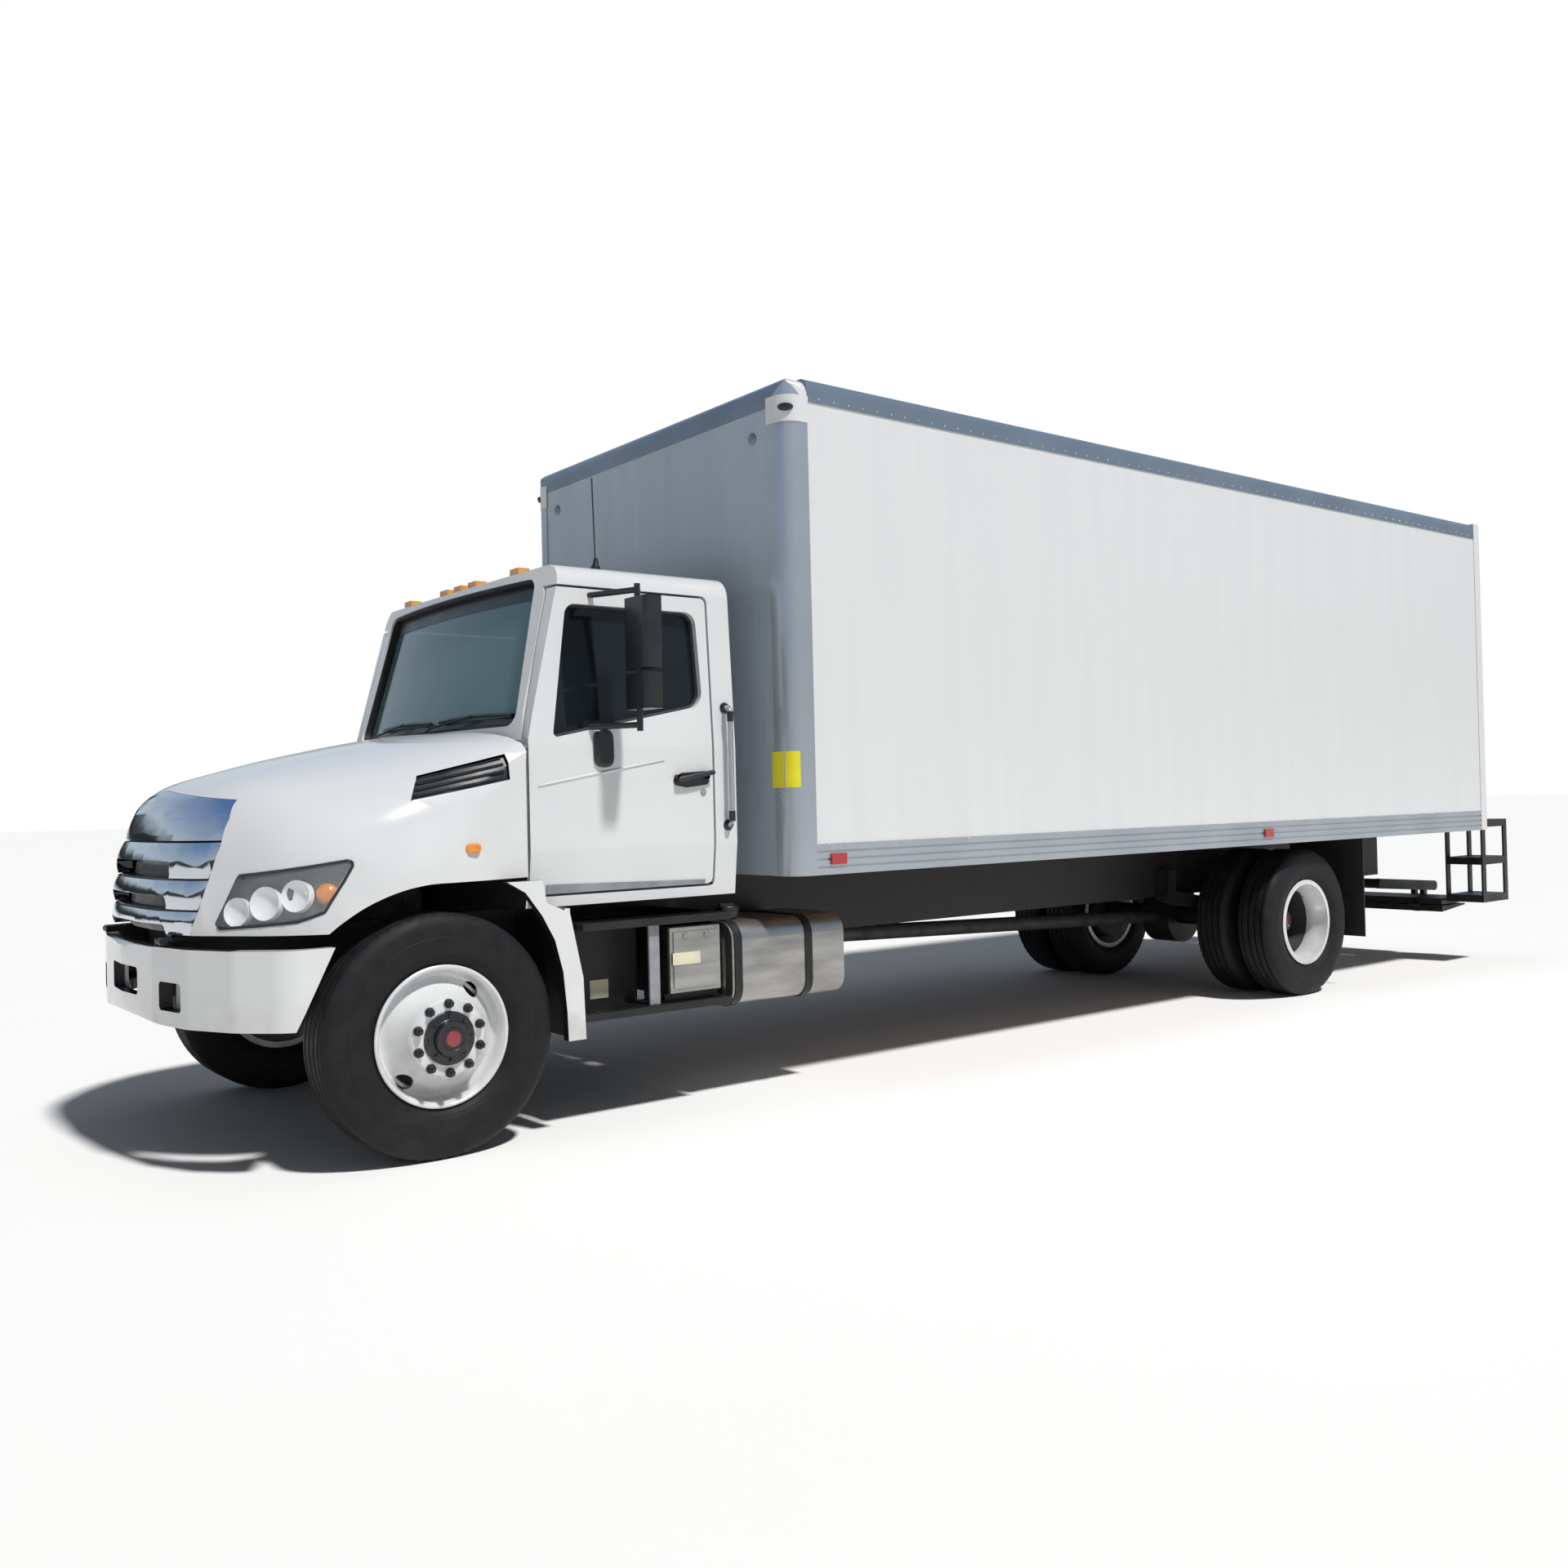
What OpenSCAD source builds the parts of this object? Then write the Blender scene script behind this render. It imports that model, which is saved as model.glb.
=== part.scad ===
// Box truck: conventional cab with a tilting hood, van body with a roll-up door, tuck-under liftgate.
// +X points forward, +Y to the driver's side, +Z up. Origin on the ground at the middle of the outline.

/* [Chassis] */
// Distance between the front and rear axles
wheelbase = 6600; // [6450:10:6700]
// Front axle to the face of the bumper
front_overhang = 1000; // [980:2:1040]
// Width over the frame rails
frame_w = 864; // [850:2:880]
// Height of the frame rails
rail_h = 260; // [240:2:270]
// Top of the frame rails above the ground
frame_top = 980; // [970:1:990]

/* [Wheels] */
// Outer diameter of the tyres
tyre_d = 1044; // [1020:2:1050]
// Section width of the tyres
tyre_w = 279; // [265:1:285]
// Diameter over the rim flanges
rim_d = 605; // [595:1:615]
// Width over the rim flanges
rim_w = 236; // [230:1:240]
// Middle of the truck to the middle of the front tyres
front_track = 1020; // [1010:1:1030]
// Middle of the truck to the middle of the outer rear tyres
rear_track = 1051; // [1045:1:1056]
// Spacing of the twin rear tyres
dual_spacing = 343; // [338:1:348]
// Middle of the truck to the kingpins
kingpin_y = 890; // [884:1:894]

/* [Van body] */
// Length of the van body
box_len = 7315; // [7300:1:7330]
// Width of the van body
box_w = 2590; // [2560:2:2600]
// Front axle to the front wall
box_front = 1802; // [1790:1:1815]
// Underside of the van body above the ground
box_bottom = 1105; // [1100:1:1120]
// Top of the van body above the ground
box_top = 3620; // [3300:5:3800]
// Height of the bottom rails
bottom_rail_h = 157; // [150:1:170]
// Height of the top rails
top_rail_h = 124; // [115:1:140]
// Thickness of the walls
wall_t = 40; // [35:1:50]
// Width of the corner posts
post_w = 146; // [135:1:160]

/* [Cab] */
// Width of the cab over the doors
cab_w = 2100; // [2080:2:2110]
// Front axle to the back of the cab
cab_rear = 1630; // [1620:1:1650]
// Underside of the sills above the ground
cab_bottom = 1025; // [1015:1:1035]
// Top of the roof above the ground
cab_top = 2700; // [2670:1:2760]
// Height of the crease below the windows
belt_z = 1760; // [1740:1:1780]
// Front axle to the front edges of the doors
door_front = 475; // [474:1:480]
// Front axle to the rear edges of the doors
door_rear = 1488; // [1475:1:1500]
// Thickness of the doors and panels
panel_t = 60; // [52:1:66]
// Gap around the doors
seam = 12; // [11:1:15]
// Rake of the windshield from upright
rake = 15; // [14:0.5:17]

/* [Hood] */
// Width over the front fenders
fender_w = 2330; // [2320:2:2360]
// Lower edge of the hood above the ground
hood_bottom = 985; // [983:1:992]
// Top of the hood at the windshield
hood_top = 1875; // [1860:1:1890]
// Thickness of the hood and fender skin
hood_t = 25; // [20:1:30]
// Width of the grille
grille_w = 1260; // [1200:2:1280]
// Width of the bumper
bumper_w = 2240; // [2220:2:2260]
// Height of the bumper
bumper_h = 325; // [310:1:340]
// Room between a front tyre and the wheel arch
arch_gap = 126; // [120:1:132]

/* [Liftgate] */
// Pivot to pivot length of the lift arms
arm_len = 900; // [880:2:910]
// Depth of each leaf of the platform
leaf_len = 400; // [360:2:410]
// Width of the platform
platform_w = 1840; // [1700:5:1860]
// Depth of the dock steps behind the van body
dock_d = 443; // [430:1:460]

/* [Hidden] */
$fn = 64;
long_fn = 720;
arc_steps = 6;
over = 40;
fit = 0.3;
skin_fit = 0.5;

// Places along the truck
box_x1 = -box_front;
box_x0 = box_x1 - box_len;
tail_x = box_x0 - dock_d;
overall_len = front_overhang - tail_x;
front_axle_x = overall_len / 2 - front_overhang;
axle_z = tyre_d / 2;
box_hw = box_w / 2;
cab_hw = cab_w / 2;
frame_hw = frame_w / 2;

// Frame
rail_t = 10;
rail_flange = 75;
rail_low = frame_top - rail_h;
rail_in = frame_hw - rail_flange;
rail_set = 100;
rail_end = 167;
rail_front = front_overhang - rail_set;
rail_rear = box_x0 + rail_end;
cross_t = 80;
cross_h = 120;
cross_shares = [0, 0.2, 0.34, 0.48, 0.62, 0.76, 0.9];
sill_w = 80;
mount_d = 90;
mount_shares = [0.2, 0.9];
hinge_pin_d = 20;
hinge_eye_d = 32;
hinge_plate = 15;
hinge_plate_h = 28;
hinge_set = 50;
hinge_rise = 22;
hinge_run = 60;
hinge_grip = 132;
bumper_gap = 50;
bumper_top = hood_bottom - bumper_gap;
hood_pivot_x = front_overhang - hinge_set;
hood_pivot_z = bumper_top + hinge_rise;

// Axles and springs
beam_t = 90;
beam_h = 90;
beam_drop = 57;
eye_d = 96;
eye_h = 110;
pin_d = 44;
spindle_d = 70;
knuckle_gap = 2;
knuckle_w = 120;
knuckle_t = 40;
lug_h = 55;
plate_d = 400;
plate_t = 10;
tie_x = 160;
arm_w = 50;
arm_h = 40;
stud_d = 24;
socket_d = 60;
socket_h = 46;
rod_d = 40;
front_spring = [1300, 110, 60, 80];
rear_spring = [1500, 90, 90, 80];
spring_pad = 8;
hanger_w = 90;
hanger_lip = 4;
leaf_steps = 8;
axle_tube_d = 140;
axle_end_d = 90;
axle_end_out = 60;
banjo_d = 420;
banjo_w = 240;

// Wheels
bead_step = 16;
bead_r = rim_d / 2 - bead_step;
flange_t = 14;
bead_w = 34;
well_depth = 48;
well_r = rim_d / 2 - well_depth;
well_w = 60;
rim_t = 14;
disc_t = 14;
disc_out = dual_spacing / 2;
disc_edge = 26;
hub_r = 108;
hub_in = 70;
cap_r = 78;
cap_out = 46;
drum_r = 205;
drum_w = 96;
drum_gap = 8;
hole_d = 62;
hole_r = 212;
shoulder_in = 36;
shoulder_drop = 12;
side_share = 0.47;
tyre_fit = 1;
drum_clear = 10;
cap_taper_share = 0.9;

// Van body
floor_t = 40;
floor_set = 17;
floor_top = box_bottom + bottom_rail_h - floor_set;
cross_pitch = 405;
cross_beam_w = 60;
rail_groove = 6;
groove_count = 3;
corner_r = 100;
top_leg = 110;
roof_t = 30;
rear_post_w = 120;
rear_post_d = 90;
rear_header_h = 210;
slat_count = 9;
slat_groove = 10;
door_t = 40;
door_set = 20;
plate_pitch = [177.8, 110];
plate_hole_d = 7;
plate_y = 330;

// Cab
sill_in = 30;
sill_rise = 260;
tumble = 45;
eave_drop = 100;
eave_z = cab_top - eave_drop;
crown_drop = 22;
crown_share = 0.56;
sill_r = 150;
belt_r = 300;
eave_r = 110;
crown_r = 400;
sill_z = cab_bottom + panel_t;
split_rise = 3;
split_z = sill_z + split_rise;
door_drop = 200;
door_top = cab_top - door_drop;
cab_nose = 250;
cowl_x = 290;
cowl_r = 3160;
cowl_rise = 30;
cowl_z = belt_z + cowl_rise;
glass_x = 390;
glass_rise = 85;
glass_z = belt_z + glass_rise;
glass_r = 6000;
glass_t = 6;
glass_set = 45;
pillar_set = 67;
pillar_x = glass_x + (door_top - glass_z) * tan(rake) + pillar_set;
roof_slope = [560, 950, 120];
roof_r = 110;
window_r = 60;
door_axis = [20, 15];
door_pin_d = 16;
door_pin_h = 25;
door_foot = [44, 50, 28];

// Hood: columns are place along the hood, low width, side width, side height, shoulder width,
// shoulder height and top height, as shares of the hood's length, half width and height.
hood_shares = [
    [0.000, 0.910, 0.910, 0.780, 0.820, 0.930, 1.000],
    [0.180, 0.975, 0.955, 0.600, 0.815, 0.850, 0.965],
    [0.392, 1.000, 0.980, 0.500, 0.765, 0.762, 0.905],
    [0.604, 0.936, 0.927, 0.400, 0.692, 0.690, 0.832],
    [0.746, 0.833, 0.807, 0.331, 0.618, 0.646, 0.772],
    [0.830, 0.721, 0.670, 0.287, 0.549, 0.590, 0.730],
    [0.887, 0.627, 0.584, 0.242, 0.481, 0.522, 0.682],
    [0.936, 0.541, 0.506, 0.174, 0.403, 0.421, 0.595],
    [0.979, 0.369, 0.343, 0.107, 0.275, 0.242, 0.343],
    [1.000, 0.189, 0.172, 0.028, 0.129, 0.051, 0.067]];
crown_shares = [0.5, 0.16];
hood_steps = 2;
curve_steps = 6;
hood_rear = 455;
cowl_gap = 16;
nose_gap = 40;
hood_len = front_overhang - nose_gap + hood_rear;
hood_h = hood_top - hood_bottom;
grille_top = 1545;
grille_crown = 52;
grille_edge_shares = [[0, 0.976], [0.21, 1.027], [0.47, 1.065], [0.66, 1.09], [0.855, 1.071], [1, 1.02]];
grille_t = 55;
screen_t = 8;
opening_w = 900;
opening_r = 24;
opening_shares = [[0, 0.075], [0.185, 0.29], [0.415, 0.545]];
groove_shares = [0.18, 0.41, 0.69];
groove_t = 14;
groove_w = 9;
lamp_t = 45;
lamp_fit = 1;
lamp_r = 18;
lamp_strip = 14;
lamp_shares = [[0.895, 0.030], [0.835, 0.275], [0.565, 0.342], [0.650, 0.100], [0.715, 0.060]];
vent_shares = [[0.392, 0.605], [0.345, 0.725], [0.070, 0.830], [0.064, 0.700]];
vent_in = 14;

// Bumper
bumper_low = bumper_top - bumper_h;
bumper_t = 50;
bumper_bow = 30;
bumper_round = 160;
bumper_shares = [[0, 0], [0.028, 0.357], [0.085, 0.625], [0.2, 0.84], [0.36, 1]];
bumper_tail = [450, 612];
bumper_edge_r = 45;
slot_w = 420;
slot_h = 120;
tow_y = 555;
tow_w = 190;

// Steps, tank and fender strips
strip_lip = 45;
strip_in = 880;
strip_t = 28;
strip_shares = [[0.285, 1.00], [0.452, 1.00], [0.470, 0.860], [0.580, 0.790], [0.640, 0.380], [0.648, 0],
    [0.562, 0], [0.558, 0.180], [0.542, 0.430], [0.505, 0.630], [0.446, 0.785], [0.370, 0.930]];
strip_low = 430;
tank_x = [1560, 2290];
tank_z = [465, 885];
tank_y = 1080;
tank_r = 95;
strap_w = 45;
strap_t = 6;
strap_shares = [0.05, 0.67];
filler_share = 0.15;
step_y = 1100;
step_x = [705, 1540];
step_d = 250;
step_t = 32;
step_z = [525, 940];
battery_x = [740, 1120];
locker_x = [1185, 1490];
locker_z = [565, 890];
can_d = 330;

// Liftgate
lift_set = 497;
lift_hang = 55;
lift_pivot_x = box_x0 + lift_set;
lift_pivot_z = rail_low - lift_hang;
lift_stow_z = 600;
stow_angle = asin((lift_pivot_z - lift_stow_z) / arm_len);
lift_end_x = lift_pivot_x - arm_len * cos(stow_angle);
arm_y = 620;
lift_arm_w = 50;
lift_arm_h = 84;
cross_tube_d = 80;
lift_pin_d = 40;
carrier_tube_d = 60;
brace_share = 0.45;
link_drop = 100;
leaf_t = 50;
leaf_gap = 45;
leaf_z = lift_stow_z - link_drop;
fold_out = 16;
fold_drop = 32;
fold_x = lift_end_x + leaf_gap + leaf_len + fold_out;
fold_z = leaf_z - fold_drop;
leaf_lug_y = 500;
leaf_lug_w = 40;
leaf_pin_d = 30;
leaf_eye_d = 50;
ramp_tip = 12;
fold_lug_y = 700;
dock_gap = 20;
dock_w = 310;
dock_y = [platform_w / 2 + dock_gap, platform_w / 2 + dock_gap + dock_w];
dock_low = 500;
dock_plate = 14;
dock_bar = 60;
flap_set = 690;
flap_x = wheelbase + flap_set;
flap_y = [620, 1220];
flap_z = 365;
flap_t = 12;

// Helpers
function unit(v) = v / norm(v);
function corner_arc(a, b, c, r) =
    r <= 0 ? [b] :
    let (u = unit(a - b), w = unit(c - b), half = acos(u * w) / 2, d = r / tan(half),
        m = b + unit(u + w) * r / sin(half), p = b + u * d, q = b + w * d,
        a0 = atan2(p.y - m.y, p.x - m.x), a1 = atan2(q.y - m.y, q.x - m.x),
        sweep = (a1 - a0 + 540) % 360 - 180)
    [for (i = [0 : arc_steps]) m + r * [cos(a0 + sweep * i / arc_steps), sin(a0 + sweep * i / arc_steps)]];
function rounded(pts, radii) =
    [for (i = [0 : len(pts) - 1])
        each corner_arc(pts[(i + len(pts) - 1) % len(pts)], pts[i], pts[(i + 1) % len(pts)], radii[i])];
function all_round(pts, r) = rounded(pts, [for (p = pts) r]);
function reversed(list) = [for (i = [len(list) - 1 : -1 : 0]) list[i]];
function mix(a, b, s) = a * (1 - s) + b * s;

module truck() { translate([front_axle_x, 0, 0]) children(); }
module right_side() { mirror([0, 1, 0]) children(); }
module both_sides() {
    children();
    mirror([0, 1, 0]) children();
}
module block(x, y, z) { translate([x[0], y[0], z[0]]) cube([x[1] - x[0], y[1] - y[0], z[1] - z[0]]); }
module side_form(y0, y1) { translate([0, y1, 0]) rotate([90, 0, 0]) linear_extrude(y1 - y0) children(); }
module section_form(x0, x1) { translate([x0, 0, 0]) rotate([90, 0, 90]) linear_extrude(x1 - x0) children(); }
module plan_form(z0, z1) { translate([0, 0, z0]) linear_extrude(z1 - z0) children(); }
module revolve_y() { rotate([-90, 0, 0]) rotate_extrude($fn = 2 * $fn) children(); }
module rod_y(d, y0, y1) { translate([0, y0, 0]) rotate([-90, 0, 0]) cylinder(d = d, h = y1 - y0); }
module rod(a, b, d) {
    v = b - a;
    translate(a) rotate([0, acos(v.z / norm(v)), atan2(v.y, v.x)]) cylinder(d = d, h = norm(v));
}

// Chassis
module frame_rails() {
    rail_profile = [[frame_hw, rail_low], [frame_hw, frame_top], [rail_in, frame_top],
        [rail_in, frame_top - rail_t], [frame_hw - rail_t, frame_top - rail_t],
        [frame_hw - rail_t, rail_low + rail_t], [rail_in, rail_low + rail_t], [rail_in, rail_low]];
    mid_z = (rail_low + frame_top) / 2;
    clear_x = cab_rear + over;
    color("#26282b") truck() {
        both_sides() {
            section_form(rail_rear, rail_front) polygon(rail_profile);
            block([rail_rear, box_x1], [frame_hw - sill_w, frame_hw], [frame_top, box_bottom]);
            for (s = mount_shares)
                translate([mix(-door_front, -cab_rear, s), frame_hw - rail_flange / 2, frame_top])
                    cylinder(d = mount_d, h = cab_bottom - frame_top);
            block([hood_pivot_x - hinge_eye_d / 2 - 2 * hinge_run, hood_pivot_x + hinge_eye_d / 2],
                [frame_hw, frame_hw + hinge_plate],
                [hood_pivot_z - hinge_plate_h / 2, hood_pivot_z + hinge_plate_h / 2]);
            translate([hood_pivot_x, 0, hood_pivot_z])
                rod_y(hinge_pin_d, frame_hw, frame_hw + hinge_plate + hinge_run);
        }
        for (s = cross_shares)
            block([mix(-clear_x, rail_rear + cross_t, s) - cross_t, mix(-clear_x, rail_rear + cross_t, s)],
                [rail_t - frame_hw, frame_hw - rail_t], [mid_z - cross_h / 2, mid_z + cross_h / 2]);
    }
}

engine_x = [-250, 600];
sump_w = 600;
engine_z = [560, 1400];
gearbox_x = -1280;
gearbox_w = 440;
gearbox_z = [600, 960];
radiator_x = [740, 800];
radiator_z = [750, 1340];
fan_d = 560;
shaft_d = 100;
shaft_start_z = 700;

module powertrain() {
    shaft_end = [-wheelbase + banjo_d / 2, 0, axle_z];
    color("#4a4c4e") truck() {
        block(engine_x, [-rail_in, rail_in], [rail_low, engine_z[1]]);
        block(engine_x, [-sump_w / 2, sump_w / 2], [engine_z[0], rail_low]);
        block([gearbox_x, engine_x[0]], [-gearbox_w / 2, gearbox_w / 2], gearbox_z);
        block(radiator_x, [-rail_in, rail_in], radiator_z);
        translate([engine_x[1], 0, (radiator_z[0] + radiator_z[1]) / 2])
            rotate([0, 90, 0]) cylinder(d = fan_d, h = radiator_x[0] - engine_x[1]);
        rod([gearbox_x, 0, shaft_start_z], shaft_end, shaft_d);
    }
}

// A leaf pack bent to an arc: columns of size are chord, sag, thickness and width
module leaf_pack(size, low_z) {
    chord = size[0];
    sag = size[1];
    r = (chord * chord / 4 + sag * sag) / (2 * sag);
    half = asin(chord / 2 / r);
    low = [for (i = [-leaf_steps : leaf_steps])
        [(r + size[2]) * sin(half * i / leaf_steps), -(r + size[2]) * cos(half * i / leaf_steps)]];
    high = [for (i = [leaf_steps : -1 : -leaf_steps])
        [r * sin(half * i / leaf_steps), -r * cos(half * i / leaf_steps)]];
    translate([0, 0, low_z + r + size[2]]) side_form(-size[3] / 2, size[3] / 2) polygon(concat(low, high));
}

module front_axle() {
    spring_y = frame_hw - sill_w / 2;
    spring_low = axle_z - beam_drop + beam_h / 2 + spring_pad;
    end_y = kingpin_y - eye_d / 4;
    beam = [[-end_y, axle_z + beam_h / 2], [end_y, axle_z + beam_h / 2], [end_y, axle_z - beam_h / 2],
        [spring_y + hanger_w, axle_z - beam_drop - beam_h / 2],
        [-spring_y - hanger_w, axle_z - beam_drop - beam_h / 2], [-end_y, axle_z - beam_h / 2]];
    top_cut = [[-spring_y - hanger_w, axle_z - beam_drop + beam_h / 2],
        [spring_y + hanger_w, axle_z - beam_drop + beam_h / 2],
        [end_y - eye_d, axle_z + beam_h / 2 + fit], [eye_d - end_y, axle_z + beam_h / 2 + fit]];
    hanger_z = spring_low + front_spring[1];
    color("#1d1e20") truck() {
        difference() {
            union() {
                section_form(-beam_t / 2, beam_t / 2) difference() {
                    polygon(beam);
                    polygon(top_cut);
                }
                both_sides() translate([0, kingpin_y, axle_z - eye_h / 2]) cylinder(d = eye_d, h = eye_h);
            }
            both_sides() translate([0, kingpin_y, axle_z - eye_h])
                cylinder(d = pin_d + 2 * fit, h = 2 * eye_h);
        }
        both_sides() {
            translate([0, spring_y, 0]) leaf_pack(front_spring, spring_low);
            block([-beam_t / 2 - hanger_lip, beam_t / 2 + hanger_lip],
                [spring_y - front_spring[3] / 2 - hanger_lip, spring_y + front_spring[3] / 2 + hanger_lip],
                [spring_low - 2 * spring_pad, spring_low + 2 * spring_pad]);
            for (end = [-1, 1])
                translate([end * (front_spring[0] - hanger_w) / 2, 0, 0])
                    block([-hanger_w / 2, hanger_w / 2],
                        [spring_y - front_spring[3] / 2 - hanger_lip, spring_y + front_spring[3] / 2],
                        [hanger_z, rail_low]);
        }
    }
}

module rear_axle() {
    spring_y = frame_hw + rear_spring[3] / 2 + 2 * rail_t;
    spring_low = axle_z + axle_tube_d / 2 + spring_pad;
    hub_y = rear_track - dual_spacing / 2;
    tube_y = rear_track - dual_spacing - rim_w / 2 + hub_in - drum_gap;
    color("#1d1e20") truck() translate([-wheelbase, 0, 0]) {
        translate([0, 0, axle_z]) {
            rod_y(axle_tube_d, -tube_y, tube_y);
            rod_y(axle_end_d, -hub_y - axle_end_out, hub_y + axle_end_out);
            rod_y(banjo_d, -banjo_w / 2, banjo_w / 2);
        }
        both_sides() {
            translate([0, spring_y, 0]) leaf_pack(rear_spring, spring_low);
            block([-axle_tube_d / 2 - hanger_lip, axle_tube_d / 2 + hanger_lip],
                [spring_y - rear_spring[3] / 2 - hanger_lip, spring_y + rear_spring[3] / 2 + hanger_lip],
                [axle_z, spring_low + 2 * spring_pad]);
            for (end = [-1, 1])
                translate([end * (rear_spring[0] - hanger_w) / 2, 0, 0])
                    block([-hanger_w / 2, hanger_w / 2],
                        [frame_hw, spring_y + rear_spring[3] / 2 + hanger_lip],
                        [spring_low + rear_spring[1], frame_top - rail_h / 4]);
        }
    }
}

module tank_outline(grow) {
    y0 = frame_hw + over;
    offset_y = [y0 - grow, tank_y + grow];
    z = [tank_z[0] - grow, tank_z[1] + grow];
    polygon(all_round([[offset_y[0], z[0]], [offset_y[1], z[0]], [offset_y[1], z[1]], [offset_y[0], z[1]]],
        tank_r + grow));
}

module fuel_tank() {
    cap_x = mix(-tank_x[0], -tank_x[1], filler_share);
    color("#b9bcbd") truck() {
        section_form(-tank_x[1], -tank_x[0]) tank_outline(0);
        translate([cap_x, tank_y - 2 * tank_r, tank_z[1] - over]) cylinder(d = tank_r, h = 2 * over);
    }
}

module tank_straps() {
    color("#1a1b1c") truck() for (s = strap_shares) {
        x = mix(-tank_x[0], -tank_x[1], s);
        section_form(x - strap_w / 2, x + strap_w / 2) difference() {
            union() {
                tank_outline(strap_t);
                translate([frame_hw, rail_low + over]) square([over, (frame_top - rail_low) / 2]);
            }
            tank_outline(0);
        }
    }
}

// Steps, battery box and locker on the left, exhaust canister on the right
module step_pair() {
    for (z = step_z)
        block([-step_x[1], -step_x[0]], [step_y - step_d, step_y], [z - step_t, z]);
    for (x = [step_x[0], step_x[1] - step_t])
        block([-x - step_t, -x], [frame_hw, step_y - step_d / 2], [step_z[0] - step_t, step_z[1]]);
}

module side_steps() {
    inner_y = step_y - step_d;
    color("#1c1d1f") truck() {
        step_pair();
        block([-battery_x[1], -battery_x[0]], [frame_hw + over, inner_y + over],
            [step_z[0], step_z[1] - step_t]);
        block([-locker_x[1], -locker_x[0]], [frame_hw + over, step_y - step_t], [locker_z[0], locker_z[1]]);
        block([-locker_x[1], -locker_x[0]], [inner_y, step_y - 2 * step_t], [step_z[0], locker_z[0]]);
        right_side() {
            step_pair();
            translate([-step_x[1], (frame_hw + step_y) / 2, mix(step_z[0], step_z[1] - step_t, 1 / 2)])
                rotate([0, 90, 0]) cylinder(d = can_d, h = step_x[1] - step_x[0]);
        }
    }
}

function bumper_half(t) = concat(
    [for (s = bumper_shares) [front_overhang * (1 - s.x) - t, s.y * (bumper_w / 2 - t)]],
    [[bumper_tail[0] - over, bumper_w / 2 - t]]);

function bumper_plan(t) =
    let (half = bumper_half(t), r = bumper_round, radii = [0, r, r, r, r, 0])
    rounded(concat(half, [for (p = reversed(half)) if (p.y > 0) [p.x, -p.y]]),
        concat(radii, [for (i = [len(radii) - 1 : -1 : 1]) radii[i]]));

module front_bumper() {
    side = [[bumper_tail[0], bumper_top], [front_overhang - bumper_t / 4, bumper_top],
        [front_overhang + over, bumper_top - bumper_h / 3],
        [front_overhang + over, bumper_low + bumper_h / 3],
        [front_overhang - bumper_t / 2, bumper_low], [bumper_tail[1], bumper_low]];
    mid_z = (bumper_top + bumper_low) / 2;
    color("#eef0f1") truck() difference() {
        union() {
            intersection() {
                plan_form(bumper_low, bumper_top) difference() {
                    polygon(bumper_plan(0));
                    polygon(bumper_plan(bumper_t));
                }
                side_form(-bumper_w, bumper_w)
                    polygon(rounded(side, [0, bumper_edge_r, 0, 0, bumper_edge_r, 0]));
            }
            both_sides()
                block([rail_front, front_overhang - bumper_bow - bumper_t / 4], [rail_in, frame_hw],
                    [mid_z - slot_h / 4, bumper_top - bumper_t]);
        }
        section_form(rail_front + over, front_overhang + over)
            polygon(all_round([[-slot_w / 2, mid_z - slot_h / 2], [slot_w / 2, mid_z - slot_h / 2],
                [slot_w / 2, mid_z + slot_h / 2], [-slot_w / 2, mid_z + slot_h / 2]], slot_h / 6));
        both_sides() section_form(rail_front, front_overhang + over)
            translate([tow_y, mid_z - slot_h / 3])
                polygon(all_round([[-tow_w / 2, -slot_h / 2], [tow_w / 2, -slot_h / 2],
                    [tow_w / 2, slot_h / 2], [-tow_w / 2, slot_h / 2]], slot_h / 6));
    }
}

module fender_strips() {
    top_z = axle_z + tyre_d / 2 + arch_gap - seam;
    outline = [for (p = strip_shares) [-p.x * (cab_hw - panel_t / 6), mix(strip_low, top_z, p.y)]];
    back = [outline[3], outline[4], outline[5], outline[5] + [strip_t, 0], outline[4] + [strip_t, 0],
        [outline[3].x + strip_t, cab_bottom], [outline[3].x, cab_bottom]];
    color("#eef0f1") truck() both_sides() {
        side_form(fender_w / 2 - strip_lip, fender_w / 2) polygon(outline);
        side_form(strip_in, fender_w / 2) polygon(back);
    }
}

module mudflaps() {
    color("#17181a") truck() both_sides()
        block([-flap_x - flap_t, -flap_x], flap_y, [flap_z, box_bottom]);
}

// Cab: every panel is a slice of one shell
function cab_section(t) =
    let (half = [
        [cab_hw - sill_in - t, cab_bottom + t],
        [cab_hw - t, cab_bottom + sill_rise],
        [cab_hw - t, belt_z],
        [cab_hw - tumble - t, eave_z - t],
        [cab_hw * crown_share, cab_top - crown_drop - t],
        [0, cab_top - t]])
    concat(half, [for (p = reversed(half)) if (p.x > 0) [-p.x, p.y]]);
cab_section_radii = [0, sill_r, belt_r, eave_r, crown_r, 0, crown_r, eave_r, belt_r, sill_r, 0];

function cab_side(t) = [
    [-cab_rear + t, cab_bottom], [-cab_nose, cab_bottom], [-cab_nose, cab_top - roof_slope[2] - t],
    [-roof_slope[0], cab_top - roof_slope[2] - t], [-roof_slope[1], cab_top - t],
    [-cab_rear + t, cab_top - t]];

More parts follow.
